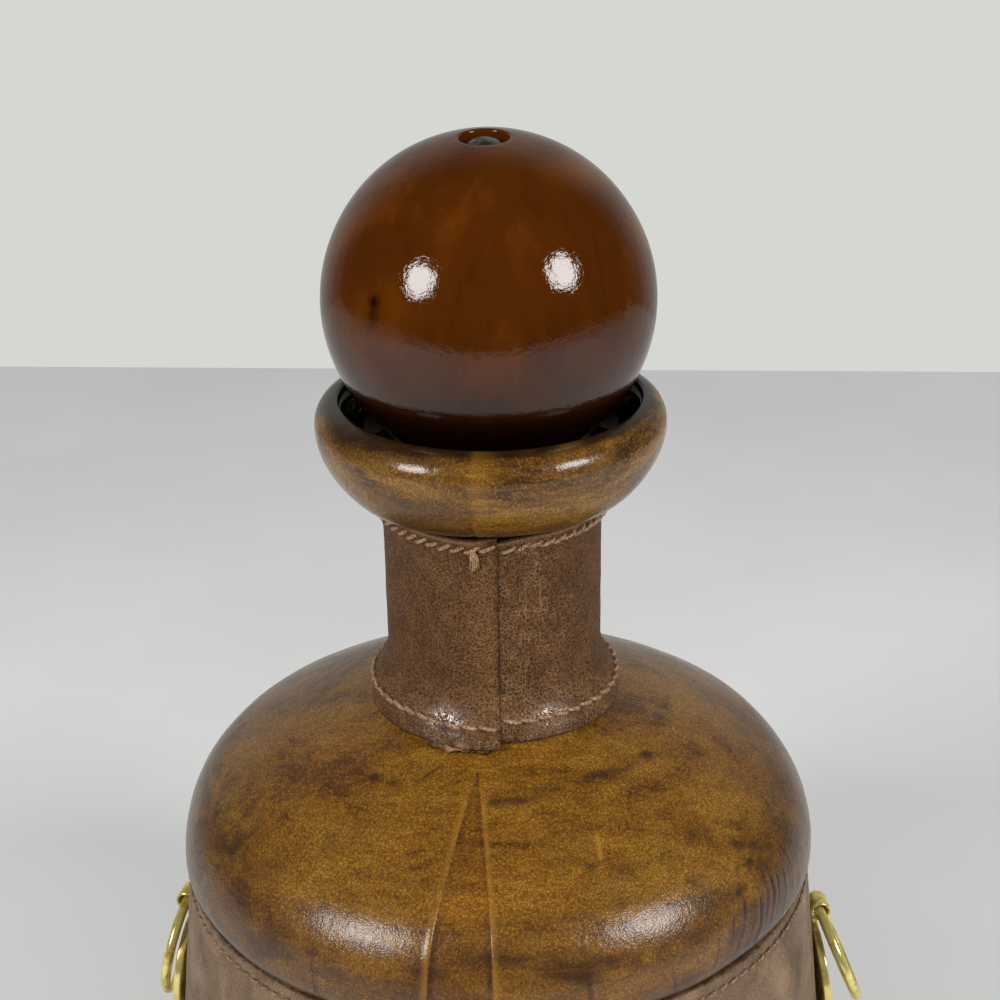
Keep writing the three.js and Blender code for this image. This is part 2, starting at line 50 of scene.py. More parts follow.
# Clearances and thicknesses
GAP = 0.3
BODY_LEATHER = 1.6
MOUTH_LEATHER = 1.6
COLLAR_LEATHER = 1.2
BELT_LEATHER = 1.7
GLASS_WALL = 3.5
GLASS_BASE = 6
NECK_WALL = 5.4
PAD_HEIGHT = 2

# Body, on the outer face of its leather
SHOULDER_CENTRE = (47.44, 98.76)
SHOULDER_RADIUS = 20.85
CROWN_RADIUS = 126.6
CROWN_ANGLE = 57
TUCK_RADIUS = 5
FOOT_RADIUS = 26
HEM_LIFT = 0.4
HEM_WIDTH = 4.5
COVER_SPLIT_DROP = 22.8
NECK_FILLET = 8
COVER_TAIL_LENGTH = 2.7
COVER_TAIL_LEATHER = 1.1

# Front gusset, in plan
GUSSET_APEX = (-3.6, -30)
GUSSET_LEFT = (-15.9, -74)
GUSSET_RIGHT = (-0.6, -74)
SEAM_HALF = -0.12  # half the gap beside it: the leather is stretched shut over its seams

# Belt
BELT_SEAT = 2
BELT_DROP = 3.96
BELT_WIDTH = 60
BELT_LEAN = 5.58
BELT_SEAM_AZIMUTH = 90
BELT_STITCH_INSET = 2.7

# Neck and mouth
NECK_RADIUS = 20.9
MOUTH_CENTRE = (22.2, 193.7)
MOUTH_RADIUS = 13.2
LIP_RADIUS = 5.4
LIP_END_ANGLE = 87
MOUTH_FILLET = 3
MOUTH_TAIL_LENGTH = 3.6
MOUTH_TAIL_LEATHER = 0.85
MOUTH_TAIL_STEP = 0.9
CUP_END_ANGLE = -70
CUP_FLOOR_DROP = 1.1
CUP_EDGE = 2

# Collar
COLLAR_RADIUS = 22.4
COLLAR_TOP = (24, 177.8)
COLLAR_TOP_FLARE = 5.8
COLLAR_FOOT_R = 26.3
COLLAR_SEAT = 0.59
COLLAR_FOOT_RISE = 13.1
COLLAR_LAP_AZIMUTH = -88
COLLAR_LAP_ANGLE = 12
COLLAR_RAMP_ANGLE = 34
COLLAR_TOP_STITCH_DROP = 2.2
COLLAR_FOOT_STITCH_RISE = 3.6
COLLAR_FLARE_SHARES = [(0, 0), (0.05, 0.07), (0.23, 0.27), (0.77, 0.565), (1, 0.893)]

# Stopper
BALL_RADIUS = 32.9
BALL_SEAT = 0.75
CORK_TAPER = 1.4
CORK_LENGTH = 35
STEM_RADIUS = 5
STEM_IN_CORK = 29.5
STEM_IN_BALL = 42.2
SCREW_SKEW_FORWARD = 4.2
SCREW_SKEW_LEFT = 0.6
POCKET_RADIUS = 4.8
POCKET_DEPTH = 6.4
POCKET_ROUND = 0.5
SCREW_HEAD_RADIUS = 3.9
SCREW_HEAD_HEIGHT = 3.2
SCREW_HEAD_DOME = 2.3
SCREW_SHANK_RADIUS = 1.7
SCREW_LENGTH = 28

# Side fittings: azimuth, and how far its ring hangs out from its plate
FITTINGS = {"right": (4, 17), "left": (170, 6)}
FITTING_DROP = 41.5
PLATE_RADIUS = 13.5
PLATE_THICKNESS = 1.4
PLATE_RIM_WIDTH = 1.6
PLATE_RIM_HEIGHT = 0.35
EYE_RISE = 16.5
EYE_RADIUS = 2.4
EYE_BORE = 1.78
EYE_LENGTH = 5.2
EYE_NECK_WIDTH = 3.4
EYE_NECK_FOOT = 10.3
RING_RADIUS = 12.2
RING_BAR = 1.15
RIVET_SPREAD = 5.6
RIVET_HEAD_RADIUS = 1.7
RIVET_HEAD_HEIGHT = 1.1
RIVET_SHANK_RADIUS = 0.9

# Fineness of a leather section
PITCH = 0.7


def cos_deg(angle):
    return np.cos(np.radians(angle))


def sin_deg(angle):
    return np.sin(np.radians(angle))


def around(azimuth, radius, height):
    """Points at an azimuth, a distance from the axis and a height."""
    at = radius * cos_deg(azimuth), radius * sin_deg(azimuth), height
    return np.stack(np.broadcast_arrays(*at), -1)


# Paths are lists of (r, z). Every piece is made from such paths.


def arc(centre, radius, start, end, pitch=PITCH):
    """Points on an arc, both ends included, about pitch apart."""
    steps = max(3, math.ceil(abs(math.radians(end - start)) * radius / pitch))
    angles = np.linspace(start, end, steps + 1)
    return [
        (centre[0] + radius * cos_deg(a), centre[1] + radius * sin_deg(a)) for a in angles
    ]


def line(start, end, pitch=PITCH):
    """Points on a straight line, both ends included, about pitch apart."""
    length = math.hypot(end[0] - start[0], end[1] - start[1])
    shares = np.linspace(0, 1, max(2, math.ceil(length / pitch) + 1))
    return [tuple(np.add(start, np.subtract(end, start) * s)) for s in shares]


def through(points, pitch=PITCH):
    """A smooth path through a few points, evenly spaced."""
    points = np.array(points, float)
    before = np.vstack([2 * points[0] - points[1], points[:-1]])
    after = np.vstack([points[1:], 2 * points[-1] - points[-2]])
    slopes = (after - before) / 2
    made = []
    for i in range(len(points) - 1):
        steps = max(2, math.ceil(np.linalg.norm(points[i + 1] - points[i]) / pitch))
        for t in np.linspace(0, 1, steps + 1)[: None if i == len(points) - 2 else -1]:
            made.append(
                points[i] * (2 * t**3 - 3 * t**2 + 1)
                + slopes[i] * (t**3 - 2 * t**2 + t)
                + points[i + 1] * (3 * t**2 - 2 * t**3)
                + slopes[i + 1] * (t**3 - t**2)
            )
    return [tuple(p) for p in made]


def joined(*paths):
    """Several paths as one, without the points that two of them share."""
    made = []
    for path in paths:
        for point in path:
            if not made or math.dist(made[-1], point) > 1e-3:
                made.append(tuple(map(float, point)))
    return made


def moved(path, distance):
    """A path moved to its left hand as it runs, by distance."""
    points = np.array(path)
    along = np.gradient(points, axis=0)
    along /= np.linalg.norm(along, axis=1)[:, None]
    return [tuple(p) for p in points + distance * np.c_[-along[:, 1], along[:, 0]]]


# Body


BODY_SKIN = BODY_LEATHER + GAP
CROWN_CENTRE = tuple(
    c - (CROWN_RADIUS - SHOULDER_RADIUS) * f(CROWN_ANGLE)
    for c, f in zip(SHOULDER_CENTRE, (cos_deg, sin_deg))
)
FILLET_R = NECK_RADIUS + NECK_FILLET
FILLET_REACH = CROWN_RADIUS - BODY_SKIN + NECK_FILLET
FILLET_Z = CROWN_CENTRE[1] + math.sqrt(FILLET_REACH**2 - (FILLET_R - CROWN_CENTRE[0]) ** 2)
FILLET_ANGLE = math.degrees(math.atan2(FILLET_Z - CROWN_CENTRE[1], FILLET_R - CROWN_CENTRE[0]))
SHOULDER_R = SHOULDER_CENTRE[0] + SHOULDER_RADIUS
TUCK_CENTRE = (SHOULDER_R - TUCK_RADIUS, SHOULDER_CENTRE[1])
BELT_TOP_Z = SHOULDER_CENTRE[1] - BELT_DROP
CONE_REACH = (SHOULDER_R - BELT_SEAT) * cos_deg(BELT_LEAN) + BELT_TOP_Z * sin_deg(BELT_LEAN)
SPLIT_Z = BELT_TOP_Z - COVER_SPLIT_DROP
TAIL_Z = FILLET_Z + COVER_TAIL_LENGTH
FOOT_CENTRE_Z = HEM_LIFT + FOOT_RADIUS
FOOT_CENTRE = (
    (CONE_REACH - FOOT_RADIUS - FOOT_CENTRE_Z * sin_deg(BELT_LEAN)) / cos_deg(BELT_LEAN),
    FOOT_CENTRE_Z,
)
HEM_INNER_R = FOOT_CENTRE[0] - HEM_WIDTH


def cone_r(z, depth):
    """Radius of the straight part under the belt, at some depth under the leather's face."""
    return (CONE_REACH - depth - z * sin_deg(BELT_LEAN)) / cos_deg(BELT_LEAN)


def upper_face(depth, pitch=PITCH):
    """From the neck down to where the belt covers the leather."""
    to_cone = (
        CONE_REACH
        - depth
        - TUCK_CENTRE[0] * cos_deg(BELT_LEAN)
        - TUCK_CENTRE[1] * sin_deg(BELT_LEAN)
    )
    tuck_end = BELT_LEAN - math.degrees(math.acos(to_cone / (TUCK_RADIUS - depth)))
    fillet = NECK_FILLET - BODY_SKIN + depth
    return joined(
        arc((FILLET_R, FILLET_Z), fillet, 180, 180 + FILLET_ANGLE, pitch),
        arc(CROWN_CENTRE, CROWN_RADIUS - depth, FILLET_ANGLE, CROWN_ANGLE, pitch),
        arc(SHOULDER_CENTRE, SHOULDER_RADIUS - depth, CROWN_ANGLE, 0, pitch),
        arc(TUCK_CENTRE, TUCK_RADIUS - depth, 0, tuck_end, pitch),
    )


def foot_face(depth, end, pitch=PITCH):
    return arc(FOOT_CENTRE, FOOT_RADIUS - depth, BELT_LEAN, end, pitch)


# Mouth

MOUTH_SKIN = MOUTH_LEATHER + GAP
LIP_CENTRE = (MOUTH_CENTRE[0] + MOUTH_RADIUS - LIP_RADIUS, MOUTH_CENTRE[1])
MOUTH_FILLET_R = NECK_RADIUS + MOUTH_FILLET
MOUTH_FILLET_Z = MOUTH_CENTRE[1] - math.sqrt(
    (MOUTH_RADIUS - MOUTH_SKIN + MOUTH_FILLET) ** 2 - (MOUTH_FILLET_R - MOUTH_CENTRE[0]) ** 2
)
MOUTH_FILLET_ANGLE = math.degrees(
    math.atan2(MOUTH_CENTRE[1] - MOUTH_FILLET_Z, MOUTH_CENTRE[0] - MOUTH_FILLET_R)
)


def mouth_face(depth, lip_angle, pitch=PITCH):
    """From the neck up and over the rolled rim."""
    fillet = MOUTH_FILLET - MOUTH_SKIN + depth
    return joined(
        arc((MOUTH_FILLET_R, MOUTH_FILLET_Z), fillet, 180, MOUTH_FILLET_ANGLE, pitch),
        arc(MOUTH_CENTRE, MOUTH_RADIUS - depth, MOUTH_FILLET_ANGLE - 180, 0, pitch),
        arc(LIP_CENTRE, LIP_RADIUS - depth, 0, lip_angle, pitch),
    )


# Noise and relief, worked out for arrays of points


def noise(points, cell, seed):
    """Smooth noise from -1 to 1, with features about cell across."""
    size = 64
    table = np.random.default_rng(seed).uniform(-1, 1, (size, size, size))
    at = np.asarray(points, float) / cell
    low = np.floor(at).astype(int)
    t = at - low
    t = t * t * (3 - 2 * t)
    total = np.zeros(len(at))
    for corner in range(8):
        step = np.array([corner & 1, corner >> 1 & 1, corner >> 2 & 1])
        share = np.prod(np.where(step, t, 1 - t), axis=1)
        total += share * table[tuple(((low + step) % size).T)]
    return total


def rough(points, cell, seed, octaves=3):
    """Noise with finer noise on it."""
    return sum(noise(points, cell / 2**i, seed + i) / 2**i for i in range(octaves)) / 1.6


def smooth(value, low, high):
    """A smooth step from 0, where value is low, to 1, where it is high."""
    t = np.clip((value - low) / (high - low), 0, 1)
    return t * t * (3 - 2 * t)


def bell(value, width):
    """1 where value is 0, fading out over about width to both sides."""
    return np.exp(-((value / width) ** 2))


def spot(points, centre, size, squash=1.0):
    """1 at a place, fading out over about size mm. squash above 1 makes it wide and low."""
    return bell(np.linalg.norm((points - centre) * [1, 1, squash], axis=1), size)


def off_axis(points):
    return np.hypot(points[:, 0], points[:, 1])


BODY_FACE = np.array(upper_face(0))


def on_body(azimuth, height):
    """The point on the body leather's outer face at an azimuth and a height."""
    return around(azimuth, np.interp(-height, -BODY_FACE[:, 1], BODY_FACE[:, 0]), height)


def crease(points, path, width):
    """1 along a path of 3-D points, fading out beside it and towards its ends."""
    path = np.array(path, float)
    away = np.full(len(points), 1e9)
    share = np.zeros(len(points))
    count = len(path) - 1
    for i in range(count):
        span = path[i + 1] - path[i]
        t = np.clip(((points - path[i]) @ span) / (span @ span), 0, 1)
        far = np.linalg.norm(points - path[i] - t[:, None] * span, axis=1)
        nearer = far < away
        away[nearer] = far[nearer]
        share[nearer] = (i + t[nearer]) / count
    return bell(away, width) * (smooth(share, 0, 0.2) * smooth(1 - share, 0, 0.2))


# Meshes. A shape is its points in mm and its faces.


def put(name, node, shape, body, slot, finish, fields=None):
    """A piece that rides on a body in place of a CAD node. fields are values at its points."""
    points, faces = shape
    mesh = bpy.data.meshes.new(name)
    mesh.from_pydata((np.asarray(points) * MM).tolist(), [], faces)
    mesh.validate()
    mesh.polygons.foreach_set("use_smooth", [True] * len(mesh.polygons))
    for field, values in (fields or {}).items():
        kept = mesh.attributes.new(field, "FLOAT", "POINT")
        kept.data.foreach_set("value", np.asarray(values, np.float32))
    mesh.materials.append(finish)
    piece = bpy.data.objects.new(name, mesh)
    bpy.context.scene.collection.objects.link(piece)
    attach(piece, body)
    if node:
        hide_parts(node)


def columns_between(start, end, count, fine=2.2):
    """Shares from 0 to 1 for a sweep from azimuth start to end, closer together in front."""
    azimuths = np.linspace(start, end, 4 * count)
    weight = 1 + (fine - 1) * smooth(-sin_deg(azimuths), -0.5, 0.2)
    total = np.concatenate([[0], np.cumsum((weight[1:] + weight[:-1]) / 2)])
    return np.interp(np.linspace(0, total[-1], count + 1), total, np.linspace(0, 1, 4 * count))


def swept(outer, inner, count, ends=None, lift=None):
    """A closed section carried round the Z axis.

    outer and inner are paths that start and end together. ends gives the two azimuths for
    a radius, or None for all the way round. The result has the shape's points and faces,
    and for each point its azimuth, its distance along the outer path and its outward way.
    """
    section = np.array(list(outer) + list(inner)[::-1])
    rows = len(section)
    spans = ends or (lambda r: (-90 - 180, -90 + 180))
    shares = columns_between(*spans(section[:, 0].max()), count)
    if not ends:
        shares = shares[:-1]
    total = len(shares)
    limits = np.array([spans(r) for r in section[:, 0]])
    azimuth = limits[:, 0] + (limits[:, 1] - limits[:, 0]) * shares[:, None]
    radius = section[:, 0] + (lift(azimuth) if lift else 0)
    before, after = np.roll(section, 1, 0), np.roll(section, -1, 0)
    run = (after - before) / np.linalg.norm(after - before, axis=1)[:, None]
    turn = np.sign(np.sum(section[:, 0] * after[:, 1] - after[:, 0] * section[:, 1]))
    normal = np.c_[run[:, 1], -run[:, 0]] * turn
    steps = np.linalg.norm(np.diff(np.array(outer), axis=0), axis=1)
    along = np.full(rows, -1.0)
    along[: len(outer)] = np.concatenate([[0], np.cumsum(steps)])
    column = np.arange(total - 1 if ends else total)[:, None]
    row = np.arange(rows)
    near, far, lower = column * rows, (column + 1) % total * rows, (row + 1) % rows
    quads = np.stack([near + row, far + row, far + lower, near + lower], -1).reshape(-1, 4)
    faces = (quads[:, ::-1] if turn < 0 else quads).tolist()
    if ends:
        first, last = list(range(rows)), list(range((total - 1) * rows, total * rows))
        faces += [first[::-1], last] if turn < 0 else [first, last[::-1]]
    return SimpleNamespace(
        points=around(azimuth, radius, section[:, 1]).reshape(-1, 3),
        faces=faces,
        azimuth=azimuth.reshape(-1),
        along=np.tile(along, total),
        outward=around(azimuth, normal[:, 0], normal[:, 1]).reshape(-1, 3),
        length=along.max(),
    )


def lathe(path, count):
    """A path from the axis and back to it, or a closed one, turned about Z."""
    points, faces, rings = [], [], []
    turn = np.linspace(0, 360, count, endpoint=False)
    for r, z in path:
        ring = around(turn, r, z).tolist() if r > 1e-6 else [(0, 0, z)]
        rings.append(range(len(points), len(points) + len(ring)))
        points += ring
    pairs = list(zip(rings[:-1], rings[1:]))
    if len(rings[0]) > 1 and len(rings[-1]) > 1:
        pairs.append((rings[-1], rings[0]))
    for low, high in pairs:
        if len(low) + len(high) == 2:
            continue
        for i in range(count):
            i_low, j_low = (low[k % len(low)] for k in (i, (i + 1) % count))
            i_high, j_high = (high[k % len(high)] for k in (i, (i + 1) % count))
            faces.append(tuple(dict.fromkeys((i_low, j_low, j_high, i_high))))
    return np.array(points), faces


def ring_faces(rings, sides, closed=False):
    """Quads between rings of points, and flat ends unless the rings close on themselves."""
    faces = []
    for i in range(rings if closed else rings - 1):
        for j in range(sides):
            near, far, k = i * sides, (i + 1) % rings * sides, (j + 1) % sides
            faces.append((near + j, near + k, far + k, far + j))
    if not closed:
        faces.append(tuple(range(sides))[::-1])
        faces.append(tuple(range((rings - 1) * sides, rings * sides)))
    return faces


def tube(path, radii, sides=8):
    """A bar along 3-D points."""
    path = np.array(path, float)
    along = np.gradient(path, axis=0)
    along /= np.linalg.norm(along, axis=1)[:, None]
    side = np.cross(along[0], [0.31, 0.17, 0.94])
    points = []
    for centre, way, radius in zip(path, along, radii):
        side = side - way * (side @ way)
        side /= np.linalg.norm(side)
        other = np.cross(way, side)
        for turn in np.linspace(0, 360, sides, endpoint=False):
            points.append(centre + radius * (side * cos_deg(turn) + other * sin_deg(turn)))
    return np.array(points), ring_faces(len(path), sides)


def merged(shapes):
    """Several shapes as one."""
    points, faces, start = [], [], 0
    for more_points, more_faces in shapes:
        points.append(more_points)
        faces.extend([tuple(v + start for v in face) for face in more_faces])
        start += len(more_points)
    return np.vstack(points), faces


def placed(shape, matrix):
    """A shape carried by a 4x4 matrix in mm."""
    points, faces = shape
    m = np.array(matrix)
    return points @ m[:3, :3].T + m[:3, 3], faces


# Materials. A colour is given as it looks on screen, a size in mm.


def tone(red, green, blue):
    """A colour as the renderer counts it."""
    return tuple(
        c / 12.92 if c <= 0.04045 else ((c + 0.055) / 1.055) ** 2.4 for c in (red, green, blue)
    ) + (1.0,)


class Nodes:
    """Short ways to add nodes to a tree."""

    def __init__(self, tree):
        self.tree = tree

    def feed(self, socket, value):
        """Link a socket to another node's output, or set it to a number or a colour."""
        if isinstance(value, bpy.types.NodeSocket):
            self.tree.links.new(value, socket)
        elif value is not None:
            on_screen = socket.type == "RGBA" and len(value) == 3
            socket.default_value = tone(*value) if on_screen else value

    def add(self, kind, output, inputs=(), **settings):
        """One output of a new node, with its settings made and its inputs fed."""
        node = self.tree.nodes.new("ShaderNode" + kind)
        for name, value in settings.items():
            setattr(node, name, value)
        for name, value in dict(inputs).items():
            self.feed(node.inputs[name], value)
        return node.outputs[output]

    def mix(self, share, low, high):
        return self.add("Mix", 2, {0: share, 6: low, 7: high}, data_type="RGBA")

    def math(self, operation, low, high, clamp=False):
        return self.add("Math", 0, {0: low, 1: high}, operation=operation, use_clamp=clamp)

    def times(self, low, high):
        return self.math("MULTIPLY", low, high)

    def plus(self, low, high, clamp=False):
        return self.math("ADD", low, high, clamp)

    def range(self, value, low, high, to_low=0.0, to_high=1.0):
        """A smooth step from to_low, where value is low, to to_high, where it is high."""
        inputs = {"Value": value, "From Min": low, "From Max": high}
        inputs |= {"To Min": to_low, "To Max": to_high}
        return self.add("MapRange", "Result", inputs, interpolation_type="SMOOTHSTEP")


class Finish(Nodes):
    """One material."""

    def __init__(self, name):
        self.material = bpy.data.materials.new(name)
        self.material.use_nodes = True
        super().__init__(self.material.node_tree)
        self.place = self.add("TexCoord", "Object")

    def scaled(self, stretch):
        """The place in the object, squeezed by three factors."""
        return self.add("Mapping", "Vector", {"Scale": stretch, "Vector": self.place})

    def noise(self, size, detail=3, rough=0.55, distortion=0, place=None):
        """Noise from 0 to 1 with features about size across."""
        inputs = {"Detail": detail, "Roughness": rough, "Distortion": distortion}
        inputs |= {"Scale": 1 / (size * MM), "Vector": place or self.place}
        return self.add("TexNoise", "Fac", inputs)

    def cells(self, size, place=None, feature="DISTANCE_TO_EDGE"):
        """Distances in a net of cells about size across."""
        inputs = {"Scale": 1 / (size * MM), "Vector": place or self.place}
        return self.add("TexVoronoi", "Distance", inputs, feature=feature)

    def shifted(self, amount, size, place=None):
        """The place in the object, pushed about by noise by up to amount."""
        place = place or self.place
        push = self.add("TexNoise", "Color", {"Scale": 1 / (size * MM), "Vector": place})
        inputs = {0: push, 1: (2 * amount * MM,) * 3, 2: place}
        return self.add("VectorMath", 0, inputs, operation="MULTIPLY_ADD")

    def field(self, name):
        return self.add("Attribute", "Fac", attribute_name=name)

    def ramp(self, value, *stops):
        """Colours at positions, blended in between."""
        node = self.tree.nodes.new("ShaderNodeValToRGB")
        node.color_ramp.interpolation = "EASE"
        elements = node.color_ramp.elements
        while len(elements) < len(stops):
            elements.new(0.5)
        for element, (position, colour) in zip(elements, stops):
            element.position = position
            element.color = tone(*colour)
        self.feed(node.inputs["Fac"], value)
        return node.outputs["Color"]

    def bump(self, height, depth, under=None):
        """Relief that is depth deep from 0 to 1 of height, over another relief."""
        inputs = {"Strength": 1, "Distance": depth * MM, "Height": height, "Normal": under}
        return self.add("Bump", "Normal", inputs)

    def done(self, **sockets):
        shader = self.tree.nodes["Principled BSDF"]
        for name, value in sockets.items():
            self.feed(shader.inputs[name.replace("_", " ")], value)
        return self.material


def moulded_leather(name, tones, stain, gloss=0.21, grain=1.0, brush=(0.4, 1, 1.7)):
    """Wet-moulded, antiqued leather: dye brushed on lengthwise, fine pebble, handled smooth."""
    light, middle, dark = tones
    f = Finish(name)
    clouds = f.noise(17, 4, 0.62, 0.7, f.scaled(brush))
    mottle = f.noise(4.2, 5, 0.72, 0.6, f.scaled((brush[0] + 0.1, 1, brush[2] + 0.5)))
    speck = f.noise(0.55, 3, 0.75)
    share = f.plus(f.times(clouds, 0.55), f.times(mottle, 0.45))
    colour = f.ramp(share, (0.4, dark), (0.5, middle), (0.585, light))
    pebble = f.cells(0.72, f.shifted(0.35, 1.1, f.scaled((1, 1, 1.4))))
    valley = f.math("MAXIMUM", f.range(pebble, 0, 0.24, 0.85, 0), f.range(speck, 0.46, 0.62))
    colour = f.mix(valley, colour, f.mix(0.7, colour, stain))
    colour = f.mix(f.range(speck, 0.46, 0.33, 0, 0.5), colour, light)
    # The stain field holds real stains and dark seams together with painted shade in folds,
    # puckers, under the mouth's roll and above the belt.
    stain_and_shade_mask = f.plus(f.field("stain"), f.range(mottle, 0.3, 0.7, -0.22, 0.22), True)
    colour = f.mix(f.range(stain_and_shade_mask, 0.08, 0.95, 0, 0.9), colour, stain)
    colour = f.mix(f.times(f.field("pale"), 0.85), colour, light)
    creases = f.noise(1.5, 4, 0.6, 0.5, f.scaled((1.3, 1, 0.8)))
    pebbles = f.range(pebble, 0, 0.3)
    normal = f.bump(pebbles, 0.055 * grain, f.bump(creases, 0.15 * grain))
    return f.done(
        Base_Color=colour,
        Roughness=0.5,
        Normal=f.bump(speck, 0.035 * grain, normal),
        Specular_IOR_Level=0.15,
        Specular_Tint=(1, 0.86, 0.68, 1),
        Coat_Weight=0.8,
        Coat_Roughness=gloss,
        Coat_IOR=1.42,
        Coat_Normal=f.bump(pebbles, 0.012 * grain, f.bump(creases, 0.085 * grain)),
    )


def crackled_leather(name):
    """Brown leather with fine pebble and pale cracks, polished where it was rubbed."""
    f = Finish(name)
    crackle, gloss = f.field("crackle"), f.field("gloss")
    ground = f.ramp(
        f.noise(9, 4, 0.55, 0.5),
        (0.36, (0.3, 0.19, 0.095)),
        (0.52, (0.345, 0.22, 0.11)),
        (0.68, (0.38, 0.245, 0.12)),
    )
    warm = f.mix(f.field("warm"), ground, (0.42, 0.29, 0.145))
    net = f.range(f.cells(0.68, f.shifted(0.4, 0.9, f.scaled((1, 1, 0.8)))), 0, 0.085, 1, 0)
    upright = f.range(f.noise(0.5, 2, 0.5, 0.3, f.scaled((1, 1, 0.07))), 0.64, 0.7)
    patchy = f.plus(f.range(f.noise(3.6, 3), 0.4, 0.62), 0.35)
    strength = f.plus(f.times(crackle, 0.5), 0.14, True)
    cracks = f.times(net, f.times(strength, patchy))
    cracks = f.math("MAXIMUM", cracks, f.times(upright, f.times(crackle, 0.5)))
    speck = f.noise(0.5, 3, 0.75)
    colour = f.mix(f.range(speck, 0.46, 0.6, 0, 0.95), warm, (0.17, 0.1, 0.05))
    colour = f.mix(f.range(speck, 0.46, 0.34, 0, 0.5), colour, (0.47, 0.34, 0.2))
    colour = f.mix(cracks, colour, (0.58, 0.45, 0.32))
    # The stain field holds real dark marks and a painted shadow along the strap's lap.
    colour = f.mix(f.field("stain"), colour, (0.12, 0.075, 0.05))
    colour = f.mix(f.field("pale"), colour, (0.64, 0.5, 0.37))
    normal = f.bump(f.range(f.cells(0.8, f.shifted(0.3, 1.2)), 0, 0.25), 0.11)
    normal = f.bump(speck, 0.05, f.bump(f.noise(1.1, 4, 0.7), 0.15, normal))
    rubbed = f.bump(f.noise(1.25, 2, 0.6, 0.4), 0.42)
    return f.done(
        Base_Color=colour,
        Roughness=f.range(gloss, 0, 1, 0.62, 0.22),
        Normal=f.mix(gloss, normal, rubbed),
        Specular_IOR_Level=f.range(gloss, 0, 1, 0.18, 1.0),
        Specular_Tint=(1, 0.95, 0.9, 1),
    )


def belt_leather(name):
    """Paler leather, dull and finely creased, with a dark raw edge."""
    f = Finish(name)
    colour = f.ramp(
        f.noise(12, 5, 0.62, 0.6),
        (0.36, (0.35, 0.265, 0.185)),
        (0.5, (0.435, 0.34, 0.245)),
        (0.64, (0.5, 0.4, 0.3)),
    )
    net = f.cells(1.7, f.shifted(0.6, 2.2))
    colour = f.mix(f.times(f.range(net, 0, 0.07, 1, 0), 0.3), colour, (0.25, 0.18, 0.13))
    speck = f.noise(0.5, 3, 0.75)
    colour = f.mix(f.range(speck, 0.42, 0.64, 0, 0.5), colour, (0.26, 0.19, 0.14))
    colour = f.mix(f.range(speck, 0.44, 0.3, 0, 0.4), colour, (0.6, 0.5, 0.4))
    colour = f.mix(f.field("stain"), colour, (0.17, 0.11, 0.07))
    return f.done(
        Base_Color=f.mix(f.field("pale"), colour, (0.63, 0.52, 0.41)),
        Roughness=f.range(f.noise(8, 3), 0.35, 0.65, 0.48, 0.62),
        Normal=f.bump(f.noise(0.9, 4, 0.7), 0.09, f.bump(f.range(net, 0, 0.2), 0.07)),
        Specular_IOR_Level=0.4,
        Specular_Tint=(1, 0.92, 0.84, 1),
    )


def thread_finish(name, light, dark):
    """Waxed linen, twisted."""
    f = Finish(name)
    twist = f.noise(0.32, 3, 0.6, 0.3, f.scaled((1, 1, 0.7)))
    colour = f.mix(f.range(twist, 0.38, 0.62), dark, light)
    colour = f.mix(f.range(f.noise(6, 2), 0.45, 0.7, 0, 0.35), colour, (0.36, 0.26, 0.17))
    return f.done(Base_Color=colour, Roughness=0.7, Normal=f.bump(twist, 0.16))


def lacquered_wood(name):
    """Turned wood under thick glossy lacquer."""
    f = Finish(name)
    figure = f.noise(26, 4, 0.55, 1.5, f.scaled((1, 1, 0.45)))
    streaks = f.noise(3.2, 5, 0.7, 0.4, f.scaled((1, 1, 0.16)))
    colour = f.ramp(
        f.plus(f.times(figure, 0.8), f.times(streaks, 0.2)),
        (0.34, (0.222, 0.094, 0.01)),
        (0.5, (0.262, 0.12, 0.013)),
        (0.66, (0.32, 0.158, 0.02)),
    )
    upright = f.scaled((1, 1, 0.12))
    pores = f.range(f.noise(0.8, 3, 0.7, 0, upright), 0.6, 0.75)
    colour = f.mix(f.times(pores, 0.35), colour, (0.13, 0.05, 0.01))
    colour = f.mix(f.field("pale"), colour, (0.46, 0.28, 0.08))
    coat = f.bump(f.noise(1.2, 3, 0.6, 0, upright), 0.012, f.bump(f.noise(1.9, 4, 0.6), 0.075))
    # The stain field darkens a real knot and, as painted shade, the lower half of the ball.
    return f.done(
        Base_Color=f.mix(f.field("stain"), colour, (0.05, 0.014, 0.008)),
        Roughness=0.4,
        Normal=f.bump(streaks, 0.03),
        Coat_Weight=1.0,
        Coat_Roughness=0.04,
        Coat_Normal=coat,
        Coat_IOR=1.4,
        Specular_IOR_Level=0.0,
    )


def brass_finish(name):
    """Polished brass with light tarnish and fine upright scratches."""
    f = Finish(name)
    tarnish = f.noise(3.5, 4, 0.6, 0.6)
    scratches = f.noise(0.25, 2, 0.6, 0, f.scaled((1, 1, 0.15)))
    tones = (0.36, (0.72, 0.65, 0.31)), (0.5, (0.87, 0.81, 0.48)), (0.68, (0.93, 0.88, 0.6))
    return f.done(
        Base_Color=f.ramp(tarnish, *tones),
        Metallic=0.6,
        Roughness=f.range(tarnish, 0.35, 0.65, 0.26, 0.12),
        Normal=f.bump(scratches, 0.004, f.bump(f.noise(2.2, 4, 0.6), 0.03)),
        Specular_IOR_Level=0.6,
    )


def steel_finish(name):
    """Dull grey steel."""
    f = Finish(name)
    dull = f.noise(1.6, 4, 0.6)
    return f.done(
        Base_Color=f.ramp(dull, (0.38, (0.17, 0.15, 0.13)), (0.62, (0.36, 0.33, 0.3))),
        Metallic=0.5,
        Roughness=f.range(dull, 0.35, 0.65, 0.5, 0.28),
        Normal=f.bump(f.noise(0.5, 3, 0.6), 0.02),
    )


